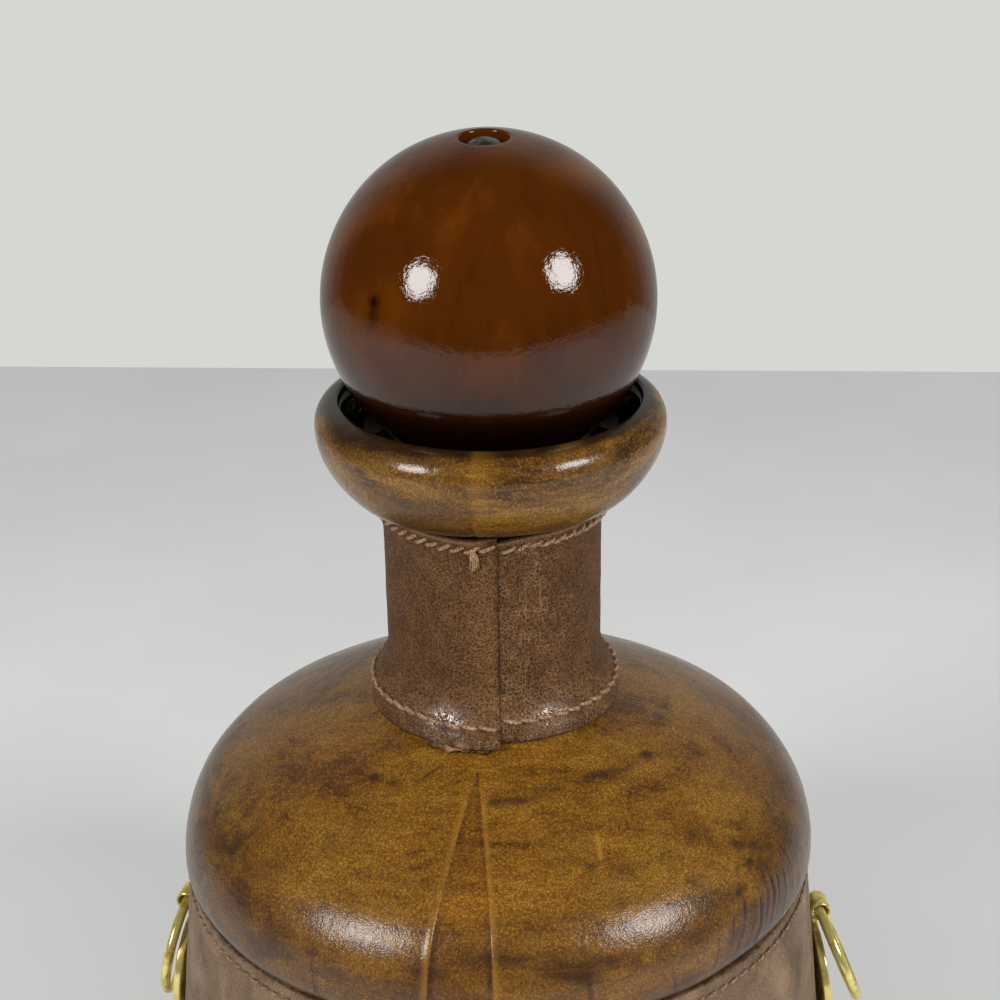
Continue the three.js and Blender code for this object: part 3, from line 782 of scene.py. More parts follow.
def glass_finish(name):
    """Dark brown bottle glass."""
    f = Finish(name)
    tint = f.range(f.noise(30, 2), 0.4, 0.6)
    return f.done(
        Base_Color=f.mix(tint, (0.07, 0.045, 0.03), (0.11, 0.07, 0.045)),
        Roughness=0.08,
        Normal=f.bump(f.noise(12, 2, 0.5), 0.12),
        IOR=1.35,
        Transmission_Weight=0.1,
        Specular_IOR_Level=0.12,
    )


def cork_finish(name):
    """Raw cork with pits."""
    f = Finish(name)
    grains = f.range(f.cells(1.5, f.shifted(0.8, 2), "F1"), 0.35, 0.9, 0, 0.4)
    pits = f.range(f.noise(2.6, 3, 0.6), 0.58, 0.68)
    tones = (0.36, (0.6, 0.42, 0.26)), (0.5, (0.72, 0.55, 0.37)), (0.64, (0.8, 0.64, 0.45))
    colour = f.ramp(f.noise(3, 4, 0.65), *tones)
    colour = f.mix(grains, colour, (0.5, 0.33, 0.2))
    return f.done(
        Base_Color=f.mix(pits, colour, (0.3, 0.17, 0.1)),
        Roughness=0.85,
        Normal=f.bump(f.math("SUBTRACT", f.noise(0.9, 3), pits), 0.22),
    )


def bare_wood_finish(name):
    """Sanded dowel."""
    f = Finish(name)
    grain = f.noise(1.1, 5, 0.7, 0.3, f.scaled((1, 1, 0.08)))
    colour = f.ramp(
        grain, (0.34, (0.55, 0.4, 0.25)), (0.52, (0.68, 0.52, 0.35)), (0.68, (0.76, 0.62, 0.44))
    )
    return f.done(Base_Color=colour, Roughness=0.65, Normal=f.bump(grain, 0.05))


def felt_finish(name):
    """Brown felt."""
    f = Finish(name)
    fuzz = f.noise(0.45, 4, 0.75, 1.5)
    return f.done(
        Base_Color=f.ramp(fuzz, (0.35, (0.13, 0.09, 0.07)), (0.65, (0.28, 0.21, 0.17))),
        Roughness=0.95,
        Normal=f.bump(fuzz, 0.3),
        Sheen_Weight=0.4,
        Sheen_Roughness=0.6,
    )


OCHRE = ((0.59, 0.415, 0.11), (0.515, 0.34, 0.06), (0.36, 0.215, 0.035))
GUSSET_TONES = ((0.59, 0.4, 0.08), (0.5, 0.32, 0.05), OCHRE[2])
MOUTH_TONES = ((0.58, 0.41, 0.11), (0.45, 0.295, 0.055), (0.27, 0.16, 0.035))
UMBER = (0.165, 0.08, 0.035)
DARK_UMBER = (0.12, 0.055, 0.02)
BODY_FINISH = moulded_leather("moulded leather", OCHRE, UMBER)
GUSSET_FINISH = moulded_leather("gusset leather", GUSSET_TONES, UMBER)
MOUTH_FINISH = moulded_leather("mouth leather", MOUTH_TONES, DARK_UMBER, 0.17, 0.6, (0.35, 1, 2))
COLLAR_FINISH = crackled_leather("collar leather")
BELT_FINISH = belt_leather("belt leather")
COLLAR_THREAD = thread_finish("collar thread", (0.68, 0.54, 0.4), (0.36, 0.25, 0.165))
BELT_THREAD = thread_finish("belt thread", (0.62, 0.5, 0.38), (0.33, 0.24, 0.17))
BALL_FINISH = lacquered_wood("lacquered wood")
BRASS = brass_finish("brass")
STEEL = steel_finish("dull steel")
GLASS = glass_finish("bottle glass")
CORK = cork_finish("cork")
BARE_WOOD = bare_wood_finish("bare wood")
FELT = felt_finish("felt")


# Body leather: wrinkles, stains and scratches that the photograph shows, by azimuth and height

DARK_STREAKS = [
    ([(-150, 127.5), (-146, 127.3), (-135, 127.4), (-127, 126)], 1.7, 0.6),
    ([(-137, 127.8), (-130, 127.2), (-124, 127.3), (-117, 126.4)], 1.5, 0.55),
    ([(-95, 127), (-88, 127.5), (-81, 127.5), (-71, 127.5), (-66, 127.7)], 1.3, 0.75),
    ([(-66, 127.4), (-61, 127.8), (-48, 127.9), (-34, 127.6), (-30, 127.2)], 1.5, 0.75),
    ([(-48, 121), (-40, 117.5), (-36, 113.5)], 2.8, 0.32),
    ([(-39, 115.5), (-36.5, 114), (-35.4, 111.8)], 2.8, 0.75),
    ([(-20, 128.5), (-8, 128.3), (0, 127.5), (6, 127)], 1.2, 0.6),
    ([(-26, 129), (-14, 127.6), (-4, 126)], 1.4, 0.4),
    ([(-112, 128.4), (-106, 128.9), (-100, 129.2)], 0.5, 0.5),
    ([(-110, 127.2), (-105, 127.8), (-99.5, 128.2)], 0.5, 0.5),
    ([(-116, 128), (-112, 129.2), (-106, 130.1)], 0.8, 0.45),
    ([(-146, 119), (-134, 117), (-120, 116)], 3.2, 0.22),
    ([(-165, 118), (-150, 114), (-132, 111)], 3.4, 0.22),
    ([(-82, 121), (-66, 119), (-54, 118.5), (-42, 120)], 2.4, 0.34),
    ([(-78, 115), (-66, 112.5), (-56, 112), (-48, 113)], 2.6, 0.3),
    ([(-84, 108), (-72, 106), (-60, 105), (-50, 106)], 2.4, 0.35),
    ([(-134, 121.5), (-124, 119.5), (-113, 119)], 2.6, 0.3),
    ([(-135, 107), (-124, 105.5), (-112, 105)], 2.4, 0.35),
]
FOLDS = [
    ([(-37.5, 112.5), (-38.2, 107), (-40, 101), (-43.5, 95.5)], 0.42, 0.2),
    ([(-35.3, 111), (-36.2, 105.5), (-38.8, 100)], 0.3, 0.13),
    ([(-33.5, 111.5), (-34.2, 105), (-37.5, 98)], 0.4, 0.16),
    ([(-31.6, 108), (-33, 103.5), (-35.2, 99.5)], 0.28, 0.12),
    ([(-40, 107.5), (-41.5, 102.5), (-44.6, 98.5)], 0.3, 0.14),
    ([(-42, 109.5), (-43.8, 104), (-47.5, 98)], 0.35, 0.16),
    ([(-45.5, 107.5), (-47, 103), (-49.5, 98.5)], 0.28, 0.12),
    ([(-50, 105.5), (-50.6, 102), (-52.6, 97.5)], 0.26, 0.1),
    ([(-29.5, 108.5), (-30.6, 103), (-33.8, 97)], 0.35, 0.13),
    ([(-27, 112), (-26.5, 106), (-28.5, 100)], 0.32, 0.12),
    ([(-24.4, 107), (-24, 102.5), (-26, 98)], 0.26, 0.1),
    ([(-122.6, 107), (-121.8, 101), (-120.8, 96)], 0.3, 0.14),
    ([(-134.8, 111.5), (-132, 108), (-129.5, 104.5)], 0.3, 0.12),
    ([(-75.6, 107), (-75.2, 102.5), (-75, 97)], 0.28, 0.14),
    ([(-61, 103), (-60, 99.5), (-60.4, 96)], 0.26, 0.12),
    ([(-118, 127.8), (-114, 129.1), (-110.2, 130.4)], 0.42, 0.4),
    ([(-109.4, 128), (-105, 128.6), (-101.5, 128.9)], 0.42, 0.4),
    ([(-112.2, 129.4), (-108, 130), (-104.6, 130.5)], 0.38, 0.36),
    ([(-106, 129.3), (-102.6, 129.8), (-99.5, 130)], 0.34, 0.28),
]
SCRATCHES = [
    ([(-65.2, 123.4), (-66.4, 121.5), (-67.6, 120)], 0.45, 0.9),
    ([(-52, 116.2), (-54.5, 114.6)], 0.4, 0.6),
]


def body_lines(lines):
    """3-D paths on the body leather, each with its width and strength."""
    for points, width, strength in lines:
        knots = np.linspace(0, 1, len(points))
        shares = np.linspace(0, 1, 4 * len(points))
        places = zip(*(np.interp(shares, knots, values) for values in np.array(points, float).T))
        yield [on_body(*place) for place in places], width, strength


def body_marks(points):
    """Relief in mm, real stains together with painted shade, and paleness of the body leather at
    points.
    """
    dents = 0.32 * noise(points, 24, 11) + 0.1 * rough(points, 8, 12)
    stain = 0.1 * smooth(rough(points, 16, 13), 0.1, 0.9)
    pale = np.zeros(len(points))
    wander = points + 1.1 * np.stack([noise(points, 5, seed) for seed in (14, 15, 16)], -1)
    brushed = points * [0.35, 1, 1.8]
    blotch = 0.5 + 0.5 * smooth(rough(brushed, 3, 19), -0.4, 0.4)
    blotch = smooth(noise(points, 2.6, 17), -1.2, 0.4) * blotch
    broken = smooth(noise(points, 2.6, 20), -0.7, 0.3)
    for path, width, strength in body_lines(DARK_STREAKS):
        streak = 0.75 * crease(wander, path, width) + 0.4 * crease(wander, path, 2.2 * width)
        stain += strength * streak * blotch
    for path, width, depth in body_lines(FOLDS):
        fold = crease(points + 0.25 * (wander - points), path, width)
        beside = crease(points, path, 3 * width)
        dents += 1.4 * depth * (0.8 * beside - 1.3 * fold) * (0.4 + 0.6 * broken)
        # Painted shade: the fold creases are darkened along their troughs.
        stain += 0.6 * fold * (0.3 + 0.7 * broken)
    for path, width, strength in body_lines(SCRATCHES):
        pale += strength * crease(points, path, width)
    height = points[:, 2]
    # Painted shade: a darker band low on the front of the shoulder, broken up by brushed noise.
    low_front_shade = 0.48 * smooth(118 - height, 0, 10) * smooth(height, 92, 100)
    low_front_shade = low_front_shade * (0.65 + 0.35 * noise(brushed, 8, 18))
    stain += low_front_shade * smooth(-points[:, 1] / 60, 0.2, 1)
    # Painted shadow: darker where the leather turns in under the belt's top edge.
    stain += 0.34 * smooth(100.5 - height, 0, 4)
    stain += 0.55 * smooth(np.abs(points[:, 0]), 38, 66)
    stain += 0.26 * smooth(rough(brushed, 4.5, 22), -0.1, 0.7) * smooth(129 - height, 0, 6)
    return dents, stain, pale


def ragged(points):
    """How strongly a seam's edge shows, more in some places than in others."""
    return 0.45 + 0.55 * smooth(noise(points, 4, 21), -0.5, 0.5)


APEX_R = math.hypot(*GUSSET_APEX)


def gusset_side(corner, radius):
    """The azimuth at which a side of the gusset crosses a radius, in plan."""
    apex, far = np.array(GUSSET_APEX, float), np.array(corner, float)
    span = far - apex
    a, b, c = span @ span, 2 * apex @ span, apex @ apex - radius**2
    t = (-b + math.sqrt(b * b - 4 * a * c)) / (2 * a)
    x, y = apex + t * span
    return math.degrees(math.atan2(y, x))


def cover_ends(radius):
    """Where the upper cover starts, right of the gusset, and ends, left of it."""
    half = math.degrees(SEAM_HALF / radius)
    if radius <= APEX_R:
        start = end = -90 + math.degrees(math.asin(GUSSET_APEX[0] / radius))
    else:
        start, end = gusset_side(GUSSET_RIGHT, radius), gusset_side(GUSSET_LEFT, radius)
    return start + half, end + 360 - half


def gusset_ends(radius):
    half = math.degrees(SEAM_HALF / radius)
    radius = max(radius, APEX_R + 0.6)
    left, right = gusset_side(GUSSET_LEFT, radius), gusset_side(GUSSET_RIGHT, radius)
    return left + half, right - half


def from_seams(piece, ends):
    """Distances in mm from each point of a swept piece to its first and its last edge."""
    radius = off_axis(piece.points)
    radii = np.linspace(15, 80, 400)
    low, high = np.array([ends(r) for r in radii]).T
    from_low = np.radians(piece.azimuth - np.interp(radius, radii, low)) * radius
    to_high = np.radians(np.interp(radius, radii, high) - piece.azimuth) * radius
    return from_low, to_high


def leather(name, node, piece, relief, slot, finish, **fields):
    """A swept piece on the bottle, with relief on its outer face that is less at its ends."""
    along = piece.along
    hold = np.where(along < 0, 0, smooth(along, 0, 1.2) * smooth(piece.length - along, 0, 1.2))
    points = piece.points + piece.outward * (relief * hold)[:, None]
    put(name, node, (points, piece.faces), "bottle", slot, finish, fields)


# Upper cover and the gusset let into it
cover_tail_r = NECK_RADIUS + GAP + COVER_TAIL_LEATHER
cover_end = SPLIT_Z + GAP / 2
cover_outer = joined(
    line((cover_tail_r, TAIL_Z), (cover_tail_r, FILLET_Z + 0.4)),
    upper_face(0),
    line(upper_face(0)[-1], (cone_r(cover_end, 0), cover_end), 1.4),
)
cover_inner = joined(
    [(NECK_RADIUS + GAP, TAIL_Z)],
    upper_face(BODY_LEATHER, 3),
    [(cone_r(cover_end, BODY_LEATHER), cover_end)],
)
cover = swept(cover_outer, cover_inner, 620, cover_ends)
points = cover.points
dents, stain, pale = body_marks(points)
right_edge, left_edge = from_seams(cover, cover_ends)
below_apex = smooth(off_axis(points), 32, 38)
ridge = bell(np.minimum(right_edge, left_edge) - 0.55, 0.6) * (0.2 + 0.8 * below_apex)
dents += 0.17 * ridge
pale += 0.5 * ridge * ragged(points)
stain += 0.12 * bell(left_edge - 2.5, 1.6) * below_apex
name, node, finish = "upper_cover_leather", "upper_body_cover", BODY_FINISH
leather(name, node, cover, dents, "body_leather", finish, stain=stain, pale=pale)

gusset_paths = [
    [p for p in path if p[0] > APEX_R + 1 or p[1] < 100] for path in (cover_outer, cover_inner)
]
gusset = swept(*gusset_paths, 36, gusset_ends)
points = gusset.points
height = points[:, 2]
dents, stain, pale = body_marks(points)
left_edge, right_edge = from_seams(gusset, gusset_ends)
nearest = np.minimum(right_edge, left_edge)
pucker = np.sin((height + 0.8 * noise(points, 4, 23)) * 3.4)
high_up = smooth(height, 114, 125)
dents += 0.04 - 0.12 * smooth(nearest, 0, 1.4)
dents += 0.07 * pucker * high_up
# Along the seams a real dark line; in the pucker valleys high up, painted shade.
stain += 0.3 * bell(nearest - 0.7, 0.6) * ragged(points) + 0.16 * high_up * (1 - pucker) / 2
stain += 0.12 * smooth(height, 99, 112) * smooth(7 - left_edge, 0, 5)
name, node, finish = "gusset_leather", "front_gusset", GUSSET_FINISH
leather(name, node, gusset, dents, "body_leather", finish, stain=stain, pale=pale)

# Lower cover and base pad
lower_top = SPLIT_Z - GAP / 2
foot = foot_face(0, -90, 0.9)
lower_outer = joined(
    line((cone_r(lower_top, 0), lower_top), foot[0], 1.2),
    foot,
    line(foot[-1], (HEM_INNER_R, HEM_LIFT), 0.9),
)
lower_inner = joined(
    [(cone_r(lower_top, BODY_LEATHER), lower_top)],
    foot_face(BODY_LEATHER, -90, 3),
    [(HEM_INNER_R, HEM_LIFT + BODY_LEATHER)],
)
lower = swept(lower_outer, lower_inner, 420)
points = lower.points
height = points[:, 2]
dents = 0.28 * noise(points, 24, 31) + 0.08 * rough(points, 8, 32)
dents *= smooth(height, 0.5, 8)
stain = 0.75 * smooth(9 - height, 0, 8) + 0.3 * smooth(rough(points, 14, 33), 0.1, 0.9)
pale = 0.3 * smooth(noise(points, 12, 34), 0.4, 0.9)
name, node, finish = "lower_cover_leather", "lower_body_cover", BODY_FINISH
leather(name, node, lower, dents, "body_leather", finish, stain=stain, pale=pale)

PAD_ROUND = 0.5
pad_r = HEM_INNER_R - GAP
pad_path = joined(
    line((0, 0), (pad_r - PAD_ROUND, 0), 2),
    arc((pad_r - PAD_ROUND, PAD_ROUND), PAD_ROUND, -90, 0, 0.2),
    line((pad_r, PAD_ROUND), (pad_r, PAD_HEIGHT), 0.5),
    line((pad_r, PAD_HEIGHT), (0, PAD_HEIGHT), 3),
)
points, faces = lathe(pad_path, 220)
points[:, :2] *= 1 + 0.0022 * noise(points, 1.2, 41)[:, None]
put("base_pad_felt", "base_pad", (points, faces), "bottle", "base_felt", FELT)

# Glass bottle, the same profile as the CAD's but round
BORE_RADIUS = NECK_RADIUS - NECK_WALL
inside_depth = BODY_SKIN + GLASS_WALL
cup = arc(MOUTH_CENTRE, MOUTH_RADIUS - MOUTH_SKIN - GLASS_WALL, 0, CUP_END_ANGLE, 1)
cup_floor = cup[-1][1] - CUP_FLOOR_DROP
crown_share = (BORE_RADIUS - CROWN_CENTRE[0]) / (CROWN_RADIUS - inside_depth)
floor_z = HEM_LIFT + BODY_SKIN + GLASS_BASE
floor_share = (FOOT_CENTRE[1] - floor_z) / (FOOT_RADIUS - inside_depth)
crown_start = math.degrees(math.acos(crown_share))
floor_angle = -math.degrees(math.asin(floor_share))
glass_path = joined(
    [(0, HEM_LIFT + BODY_SKIN)],
    foot_face(BODY_SKIN, -90, 2)[::-1],
    upper_face(BODY_SKIN, 2)[::-1],
    mouth_face(MOUTH_SKIN, 90, 0.8),
    cup,
    [(BORE_RADIUS + CUP_EDGE, cup_floor), (BORE_RADIUS, cup_floor - CUP_EDGE)],
    arc(CROWN_CENTRE, CROWN_RADIUS - inside_depth, crown_start, CROWN_ANGLE, 2),
    arc(SHOULDER_CENTRE, SHOULDER_RADIUS - inside_depth, CROWN_ANGLE, 0, 2),
    foot_face(inside_depth, floor_angle, 2),
    [(0, floor_z)],
)
put("bottle_glass", "glass_bottle", lathe(glass_path, 144), "bottle", "dark_glass", GLASS)

# Mouth leather, from its tail on the neck up and over the rim. Its seam is a little left of front.
MOUTH_SEAM_AZIMUTH = -97
UNDERSIDE_SAG = 1.7
tail_r = NECK_RADIUS + GAP
tail_face_r = tail_r + MOUTH_TAIL_LEATHER
tail_bottom = MOUTH_FILLET_Z - MOUTH_TAIL_LENGTH
mouth_outer = joined(
    line((tail_face_r, tail_bottom), (tail_face_r, MOUTH_FILLET_Z - MOUTH_TAIL_STEP), 0.6),
    mouth_face(0, LIP_END_ANGLE - 4, 0.6),
)
mouth_inner = joined([(tail_r, tail_bottom)], mouth_face(MOUTH_LEATHER, LIP_END_ANGLE, 2))
mouth = swept(mouth_outer, mouth_inner, 560)
points = mouth.points
x, y, height = points.T
from_axis = off_axis(points)
in_front = smooth(-y / from_axis, 0.1, 0.85)
height -= UNDERSIDE_SAG * in_front * smooth(191 - height, 0, 8) * smooth(from_axis, 22, 25)
azimuth = (mouth.azimuth + 360) % 360 - 360
seam = np.radians(azimuth - MOUTH_SEAM_AZIMUTH + 0.6 * noise(points, 6, 51)) * from_axis
in_seam = bell(seam, 0.5) * smooth(195 - height, 0, 3)
dents = 0.3 * noise(points, 17, 52) + 0.1 * rough(points, 6, 53) - 0.18 * in_seam
over_rim = smooth(height, 195, 198.6)
left_side = smooth(-x + 0.2 * y, -6, 22)
inside_r = LIP_CENTRE[0] + 3.6 + 0.5 * noise(points, 5, 57)
stain = 1.15 * over_rim * smooth(inside_r - from_axis, 0, 1.8)
stain += 0.55 * over_rim * left_side + 0.5 * left_side * smooth(rough(points, 12, 54), -0.6, 0.4)
stain += 0.3 * in_seam + 0.22 * smooth(-seam, 0, 1.2) * smooth(seam, -16, -2)
# Painted shade: darker under the roll of the rim, towards the collar.
stain += 0.55 * smooth(188.5 - height, 0, 8)
streaks = smooth(rough(points * [0.3, 1, 2.6], 5, 55), 0.05, 0.6)
stain += 0.6 * streaks * smooth(height, 182, 189)
pale = 0.28 * smooth(seam, -0.5, 1.5) * smooth(7 - seam, 0, 6) * smooth(height, 184, 190)
pale += 0.35 * smooth(rough(points, 10, 56), 0.1, 0.7) * smooth(x, 0, 16)
name, node, finish = "mouth_leather_rim", "mouth_cover", MOUTH_FINISH
leather(name, node, mouth, dents, "mouth_leather", finish, stain=stain, pale=pale)

# Neck collar, one strap lapped in front
CROWN_RISE = math.sqrt(CROWN_RADIUS**2 - (COLLAR_FOOT_R - CROWN_CENTRE[0]) ** 2)
COLLAR_FOOT = (COLLAR_FOOT_R, CROWN_CENTRE[1] + CROWN_RISE + COLLAR_SEAT)
COLLAR_UNDER_MOUTH = (COLLAR_RADIUS, COLLAR_TOP[1] - COLLAR_TOP_FLARE)
COLLAR_START = COLLAR_LAP_AZIMUTH - COLLAR_LAP_ANGLE
COLLAR_END = COLLAR_LAP_AZIMUTH + 360
collar_flare = [
    (
        COLLAR_RADIUS + (COLLAR_FOOT[0] - COLLAR_RADIUS) * out,
        COLLAR_FOOT[1] + COLLAR_FOOT_RISE * (1 - down),
    )
    for out, down in COLLAR_FLARE_SHARES
]
collar_face = joined(
    line(COLLAR_TOP, COLLAR_UNDER_MOUTH, 0.45),
    line(COLLAR_UNDER_MOUTH, collar_flare[0], 0.6),
    through(collar_flare + [COLLAR_FOOT], 0.45),
)
collar_outer = joined(
    [np.add(collar_face[0], (-0.42, 0.22))],
    collar_face,
    [np.add(collar_face[-1], (-0.42, -0.12))],
)
collar_inner = moved(collar_face[:-1:6] + collar_face[-1:], -COLLAR_LEATHER)


def lap_lift(azimuth):
    """How far the strap's outer end stands out where it laps over its own beginning."""
    share = (azimuth - (COLLAR_START + 360 - COLLAR_RAMP_ANGLE)) / COLLAR_RAMP_ANGLE
    return (COLLAR_LEATHER + GAP) * np.clip(share, 0, 1)


def hem_climb(azimuth):
    """How much shorter the strap hangs in front: more on its inner end than on its outer one."""
    return 1.7 * bell(azimuth + 95, 65) + 0.8 * bell(azimuth - 262, 45)


def top_climb(azimuth):
    """The strap's top edge steps down at the lap, from its outer end to its inner one."""
    return 0.45 * bell(azimuth - 270, 6) - 1.1 * bell(azimuth + 92, 13)


def patches(points, cell, seed, low=-0.5, high=0.3):
    return smooth(noise(points, cell, seed), low, high)


collar_limits = (COLLAR_START, COLLAR_END)
collar = swept(collar_outer, collar_inner, 600, lambda r: collar_limits, lap_lift)
points, along, azimuth = collar.points, collar.along, collar.azimuth
up_slope = np.subtract(collar_flare[3], collar_flare[4])
up_slope /= np.linalg.norm(up_slope)
climb = np.clip((COLLAR_FOOT[1] + 10 - points[:, 2]) / 10, 0, 1) ** 1.5
climb = hem_climb(azimuth) * climb
points += around(azimuth, climb * up_slope[0], climb * up_slope[1])
points[:, 2] += top_climb(azimuth) * smooth(points[:, 2], 171, 177)
height = points[:, 2]
low = smooth(145 - height, 0, 9)
dents = 0.16 * noise(points * [1, 1, 0.35], 6, 62) + 0.1 * rough(points, 4, 63)
rings = np.sin((height + 1.4 * noise(points, 7, 61)) * 2.2) * low
dents += 0.08 * rings * patches(points, 9, 64, -0.5, 0.4)
right = np.degrees(np.arctan2(points[:, 1], points[:, 0]))
crackle = 0.35 + 0.65 * smooth(right, -91, -84) * smooth(-50 - right, -25, 20)
crackle = crackle * patches(points, 8, 65, -1, 0.4) + 0.5 * low
gloss = spot(points, around(-113, 25.6, 137.2), 4.6, 1.5)
gloss = np.clip(1.1 * (gloss + spot(points, around(-64, 25.6, 137.2), 4.2, 1.6)) + 0.15 * low, 0, 1)
warm = 0.75 * smooth(right, -104, -94) * smooth(-88.5 - right, 0, 3) * smooth(height, 134, 142)
from_end = np.radians(COLLAR_END - azimuth) * COLLAR_RADIUS
from_lap = np.radians(azimuth - COLLAR_LAP_AZIMUTH) * COLLAR_RADIUS
stain = 0.15 * bell(from_end, 0.25)
stain += 0.5 * smooth(along, collar.length - 1.1, collar.length - 0.5)
stain += 0.25 * (along < 0.5)
stain += 0.5 * spot(points, around(-100, 27, 132.6), 1.6) * patches(points, 1.2, 66, -0.3)
# Painted shadow: a dark line where the strap's outer end lies over its beginning.
stain += 0.2 * bell(from_lap - 0.1, 0.3)
pale = 0.8 * spot(points, around(-105.5, 27.4, 133.2), 1.6) * patches(points, 1.5, 67)
pale += 0.35 * bell(along - 0.9, 0.4)
torn = spot(points, around(-103, 27.3, 132.2), 3.2, 1.6) * smooth(-from_end, -20, -1)
dents -= 1.0 * bell(from_end, 2.4)
dents += 0.5 * torn - 0.25 * bell(from_end, 0.6) * patches(points, 2, 68, -0.2, 0.6)
fields = {"stain": stain, "pale": pale, "crackle": crackle, "gloss": gloss, "warm": warm}
name, node, finish = "collar_leather_strap", "neck_collar", COLLAR_FINISH
leather(name, node, collar, dents, "collar_leather", finish, **fields)

# The torn second layer that shows under the collar's hem, left of the lap
torn_edge = line((25.6, 133.9), (27.5, 132.0), 0.25)
flap = swept(torn_edge, moved(torn_edge, -0.7), 70, lambda r: (-121, -93))
points, azimuth = flap.points, flap.azimuth
across = np.radians(azimuth + 107) * 27
frayed = 0.9 * noise(points * [1, 1, 0.2], 1.6, 101) - 0.05 * across**2 / 4
points = points + flap.outward * (0.45 * rough(points, 1.4, 102))[:, None]
frayed = frayed * smooth(flap.along, 0.3, flap.length)
points = points + around(azimuth, 1.0, -0.35) * frayed[:, None]
fields = {
    "stain": 0.5 * patches(points, 1.3, 103, -0.2, 0.5),
    "pale": 0.8 * spot(points, around(-108, 26.8, 132.8), 2.2) * patches(points, 1.2, 104),
    "crackle": np.ones(len(points)),
    "gloss": np.full(len(points), 0.3),
    "warm": np.zeros(len(points)),
}
shape = points, flap.faces
put("collar_torn_edge", None, shape, "bottle", "collar_leather", COLLAR_FINISH, fields)

# Belt: a strap round the body with softened edges, its ends butted at the back
BELT_FACE_DEPTH = -GAP - BELT_LEATHER
BELT_DRAWN_IN = 0.7
BELT_ROUND = 0.45
belt_top_r = cone_r(BELT_TOP_Z, BELT_FACE_DEPTH)
belt_top = np.array((belt_top_r - BELT_DRAWN_IN, BELT_TOP_Z))
belt_bottom = np.array(
    (
        belt_top[0] + BELT_DRAWN_IN + BELT_WIDTH * sin_deg(BELT_LEAN),
        BELT_TOP_Z - BELT_WIDTH * cos_deg(BELT_LEAN),
    )
)


def belt_section():
    """Outer and inner paths from the top edge down."""
    length = np.linalg.norm(belt_bottom - belt_top)
    run = (belt_bottom - belt_top) / length
    out = np.array([-run[1], run[0]])

    def at(distance, depth):
        return tuple(belt_top + run * distance - out * depth)

    def turn(angle):
        return BELT_ROUND * (1 - cos_deg(angle)), BELT_ROUND * (1 - sin_deg(angle))

    flat = np.linspace(BELT_ROUND, length - BELT_ROUND, math.ceil(length / 0.8))[1:]
    outer = [at(0, BELT_LEATHER * 0.62), at(0.02, BELT_ROUND)]
    outer += [at(*turn(a)) for a in (30, 60, 90)]
    outer += [at(distance, 0) for distance in flat]
    outer += [at(length - turn(a)[0], turn(a)[1]) for a in (60, 30)]
    outer += [at(length - 0.02, BELT_ROUND), at(length, BELT_LEATHER * 0.62)]
    return outer, [at(d, BELT_LEATHER) for d in (0.1, length / 2, length - 0.1)]


butt = math.degrees(GAP / 2 / belt_top[0])
belt_limits = (BELT_SEAM_AZIMUTH + butt, BELT_SEAM_AZIMUTH + 360 - butt)
belt = swept(*belt_section(), 620, lambda r: belt_limits)
points, along = belt.points, belt.along
dents = 0.22 * noise(points, 20, 71) + 0.1 * rough(points, 5, 72)
top_edge = smooth(2.2 - along, 0, 1.3)
foot_edge = smooth(along, belt.length - 2.2, belt.length - 1)
stain = np.clip(0.55 * top_edge * patches(points, 0.9, 73, -0.6, 0.6) + 0.5 * foot_edge, 0, 1)
stain[along < 0] = 0.8
under_thread = points[:, 2] - BELT_TOP_Z + BELT_STITCH_INSET * cos_deg(BELT_LEAN)
under_thread = under_thread / cos_deg(BELT_LEAN)
dents -= 0.3 * bell(under_thread, 0.6)
stain += 0.5 * bell(under_thread, 0.45) * patches(points, 1.6, 76, -0.4, 0.4)
pale = 0.22 * noise(points, 0.8, 74) * (top_edge + foot_edge) * (along >= 0)
belt.points = points + belt.outward * pale[:, None]
pale = 0.4 * smooth(rough(points, 9, 75), 0.2, 0.8)
name, node, finish = "belt_leather_strap", "belt", BELT_FINISH
leather(name, node, belt, dents, "belt_leather", finish, stain=stain, pale=pale)


# Stitches


def on_strap(start, end, along):
    """A point on a straight face between two path points, the way along it and the way out."""
    run = np.subtract(end, start)
    run = run / np.linalg.norm(run)
    return np.array(start) + run * along, run, np.array([run[1], -run[0]])


def level(azimuth):
    return 0.0


def stitches(face, make, azimuths, seed, lift=level, climb=level):
    """One row of stitches, each a short bent bar that comes out of the leather and goes back in.

    face is what on_strap takes, make a stitch's length, slant, rise and radius.
    """
    (face_r, face_z), run, out = on_strap(*face)
    length, slant, rise, radius = make
    random = np.random.default_rng(seed)
    bars = []
    for azimuth in azimuths:
        r, z = face_r + lift(azimuth), face_z + climb(azimuth)
        half = length / 2 * random.uniform(0.88, 1.06)
        lean = slant * random.uniform(0.7, 1.25)
        drift = random.uniform(-0.12, 0.12)
        path, radii = [], []
        for t in np.linspace(-1, 1, 9):
            across = lean * math.sin(t * math.pi / 2) / 2 + drift
            height = rise * (1 - abs(t) ** 3) - 0.42 * abs(t) ** 4
            bar_r, bar_z = (at + run[i] * across + out[i] * height for i, at in enumerate((r, z)))
            path.append(around(azimuth + math.degrees(t * half / r), bar_r, bar_z))
            radii.append(radius * (1 - 0.3 * t * t) * random.uniform(0.93, 1.05))
        bars.append(tube(path, radii))
    return bars


def spread_round(start, end, radius, pitch):
    """Azimuths of stitches about pitch apart, from one azimuth to another."""
    count = round(math.radians(end - start) * radius / pitch)
    return np.linspace(start, end, count + 1)[:-1] + (end - start) / count / 2


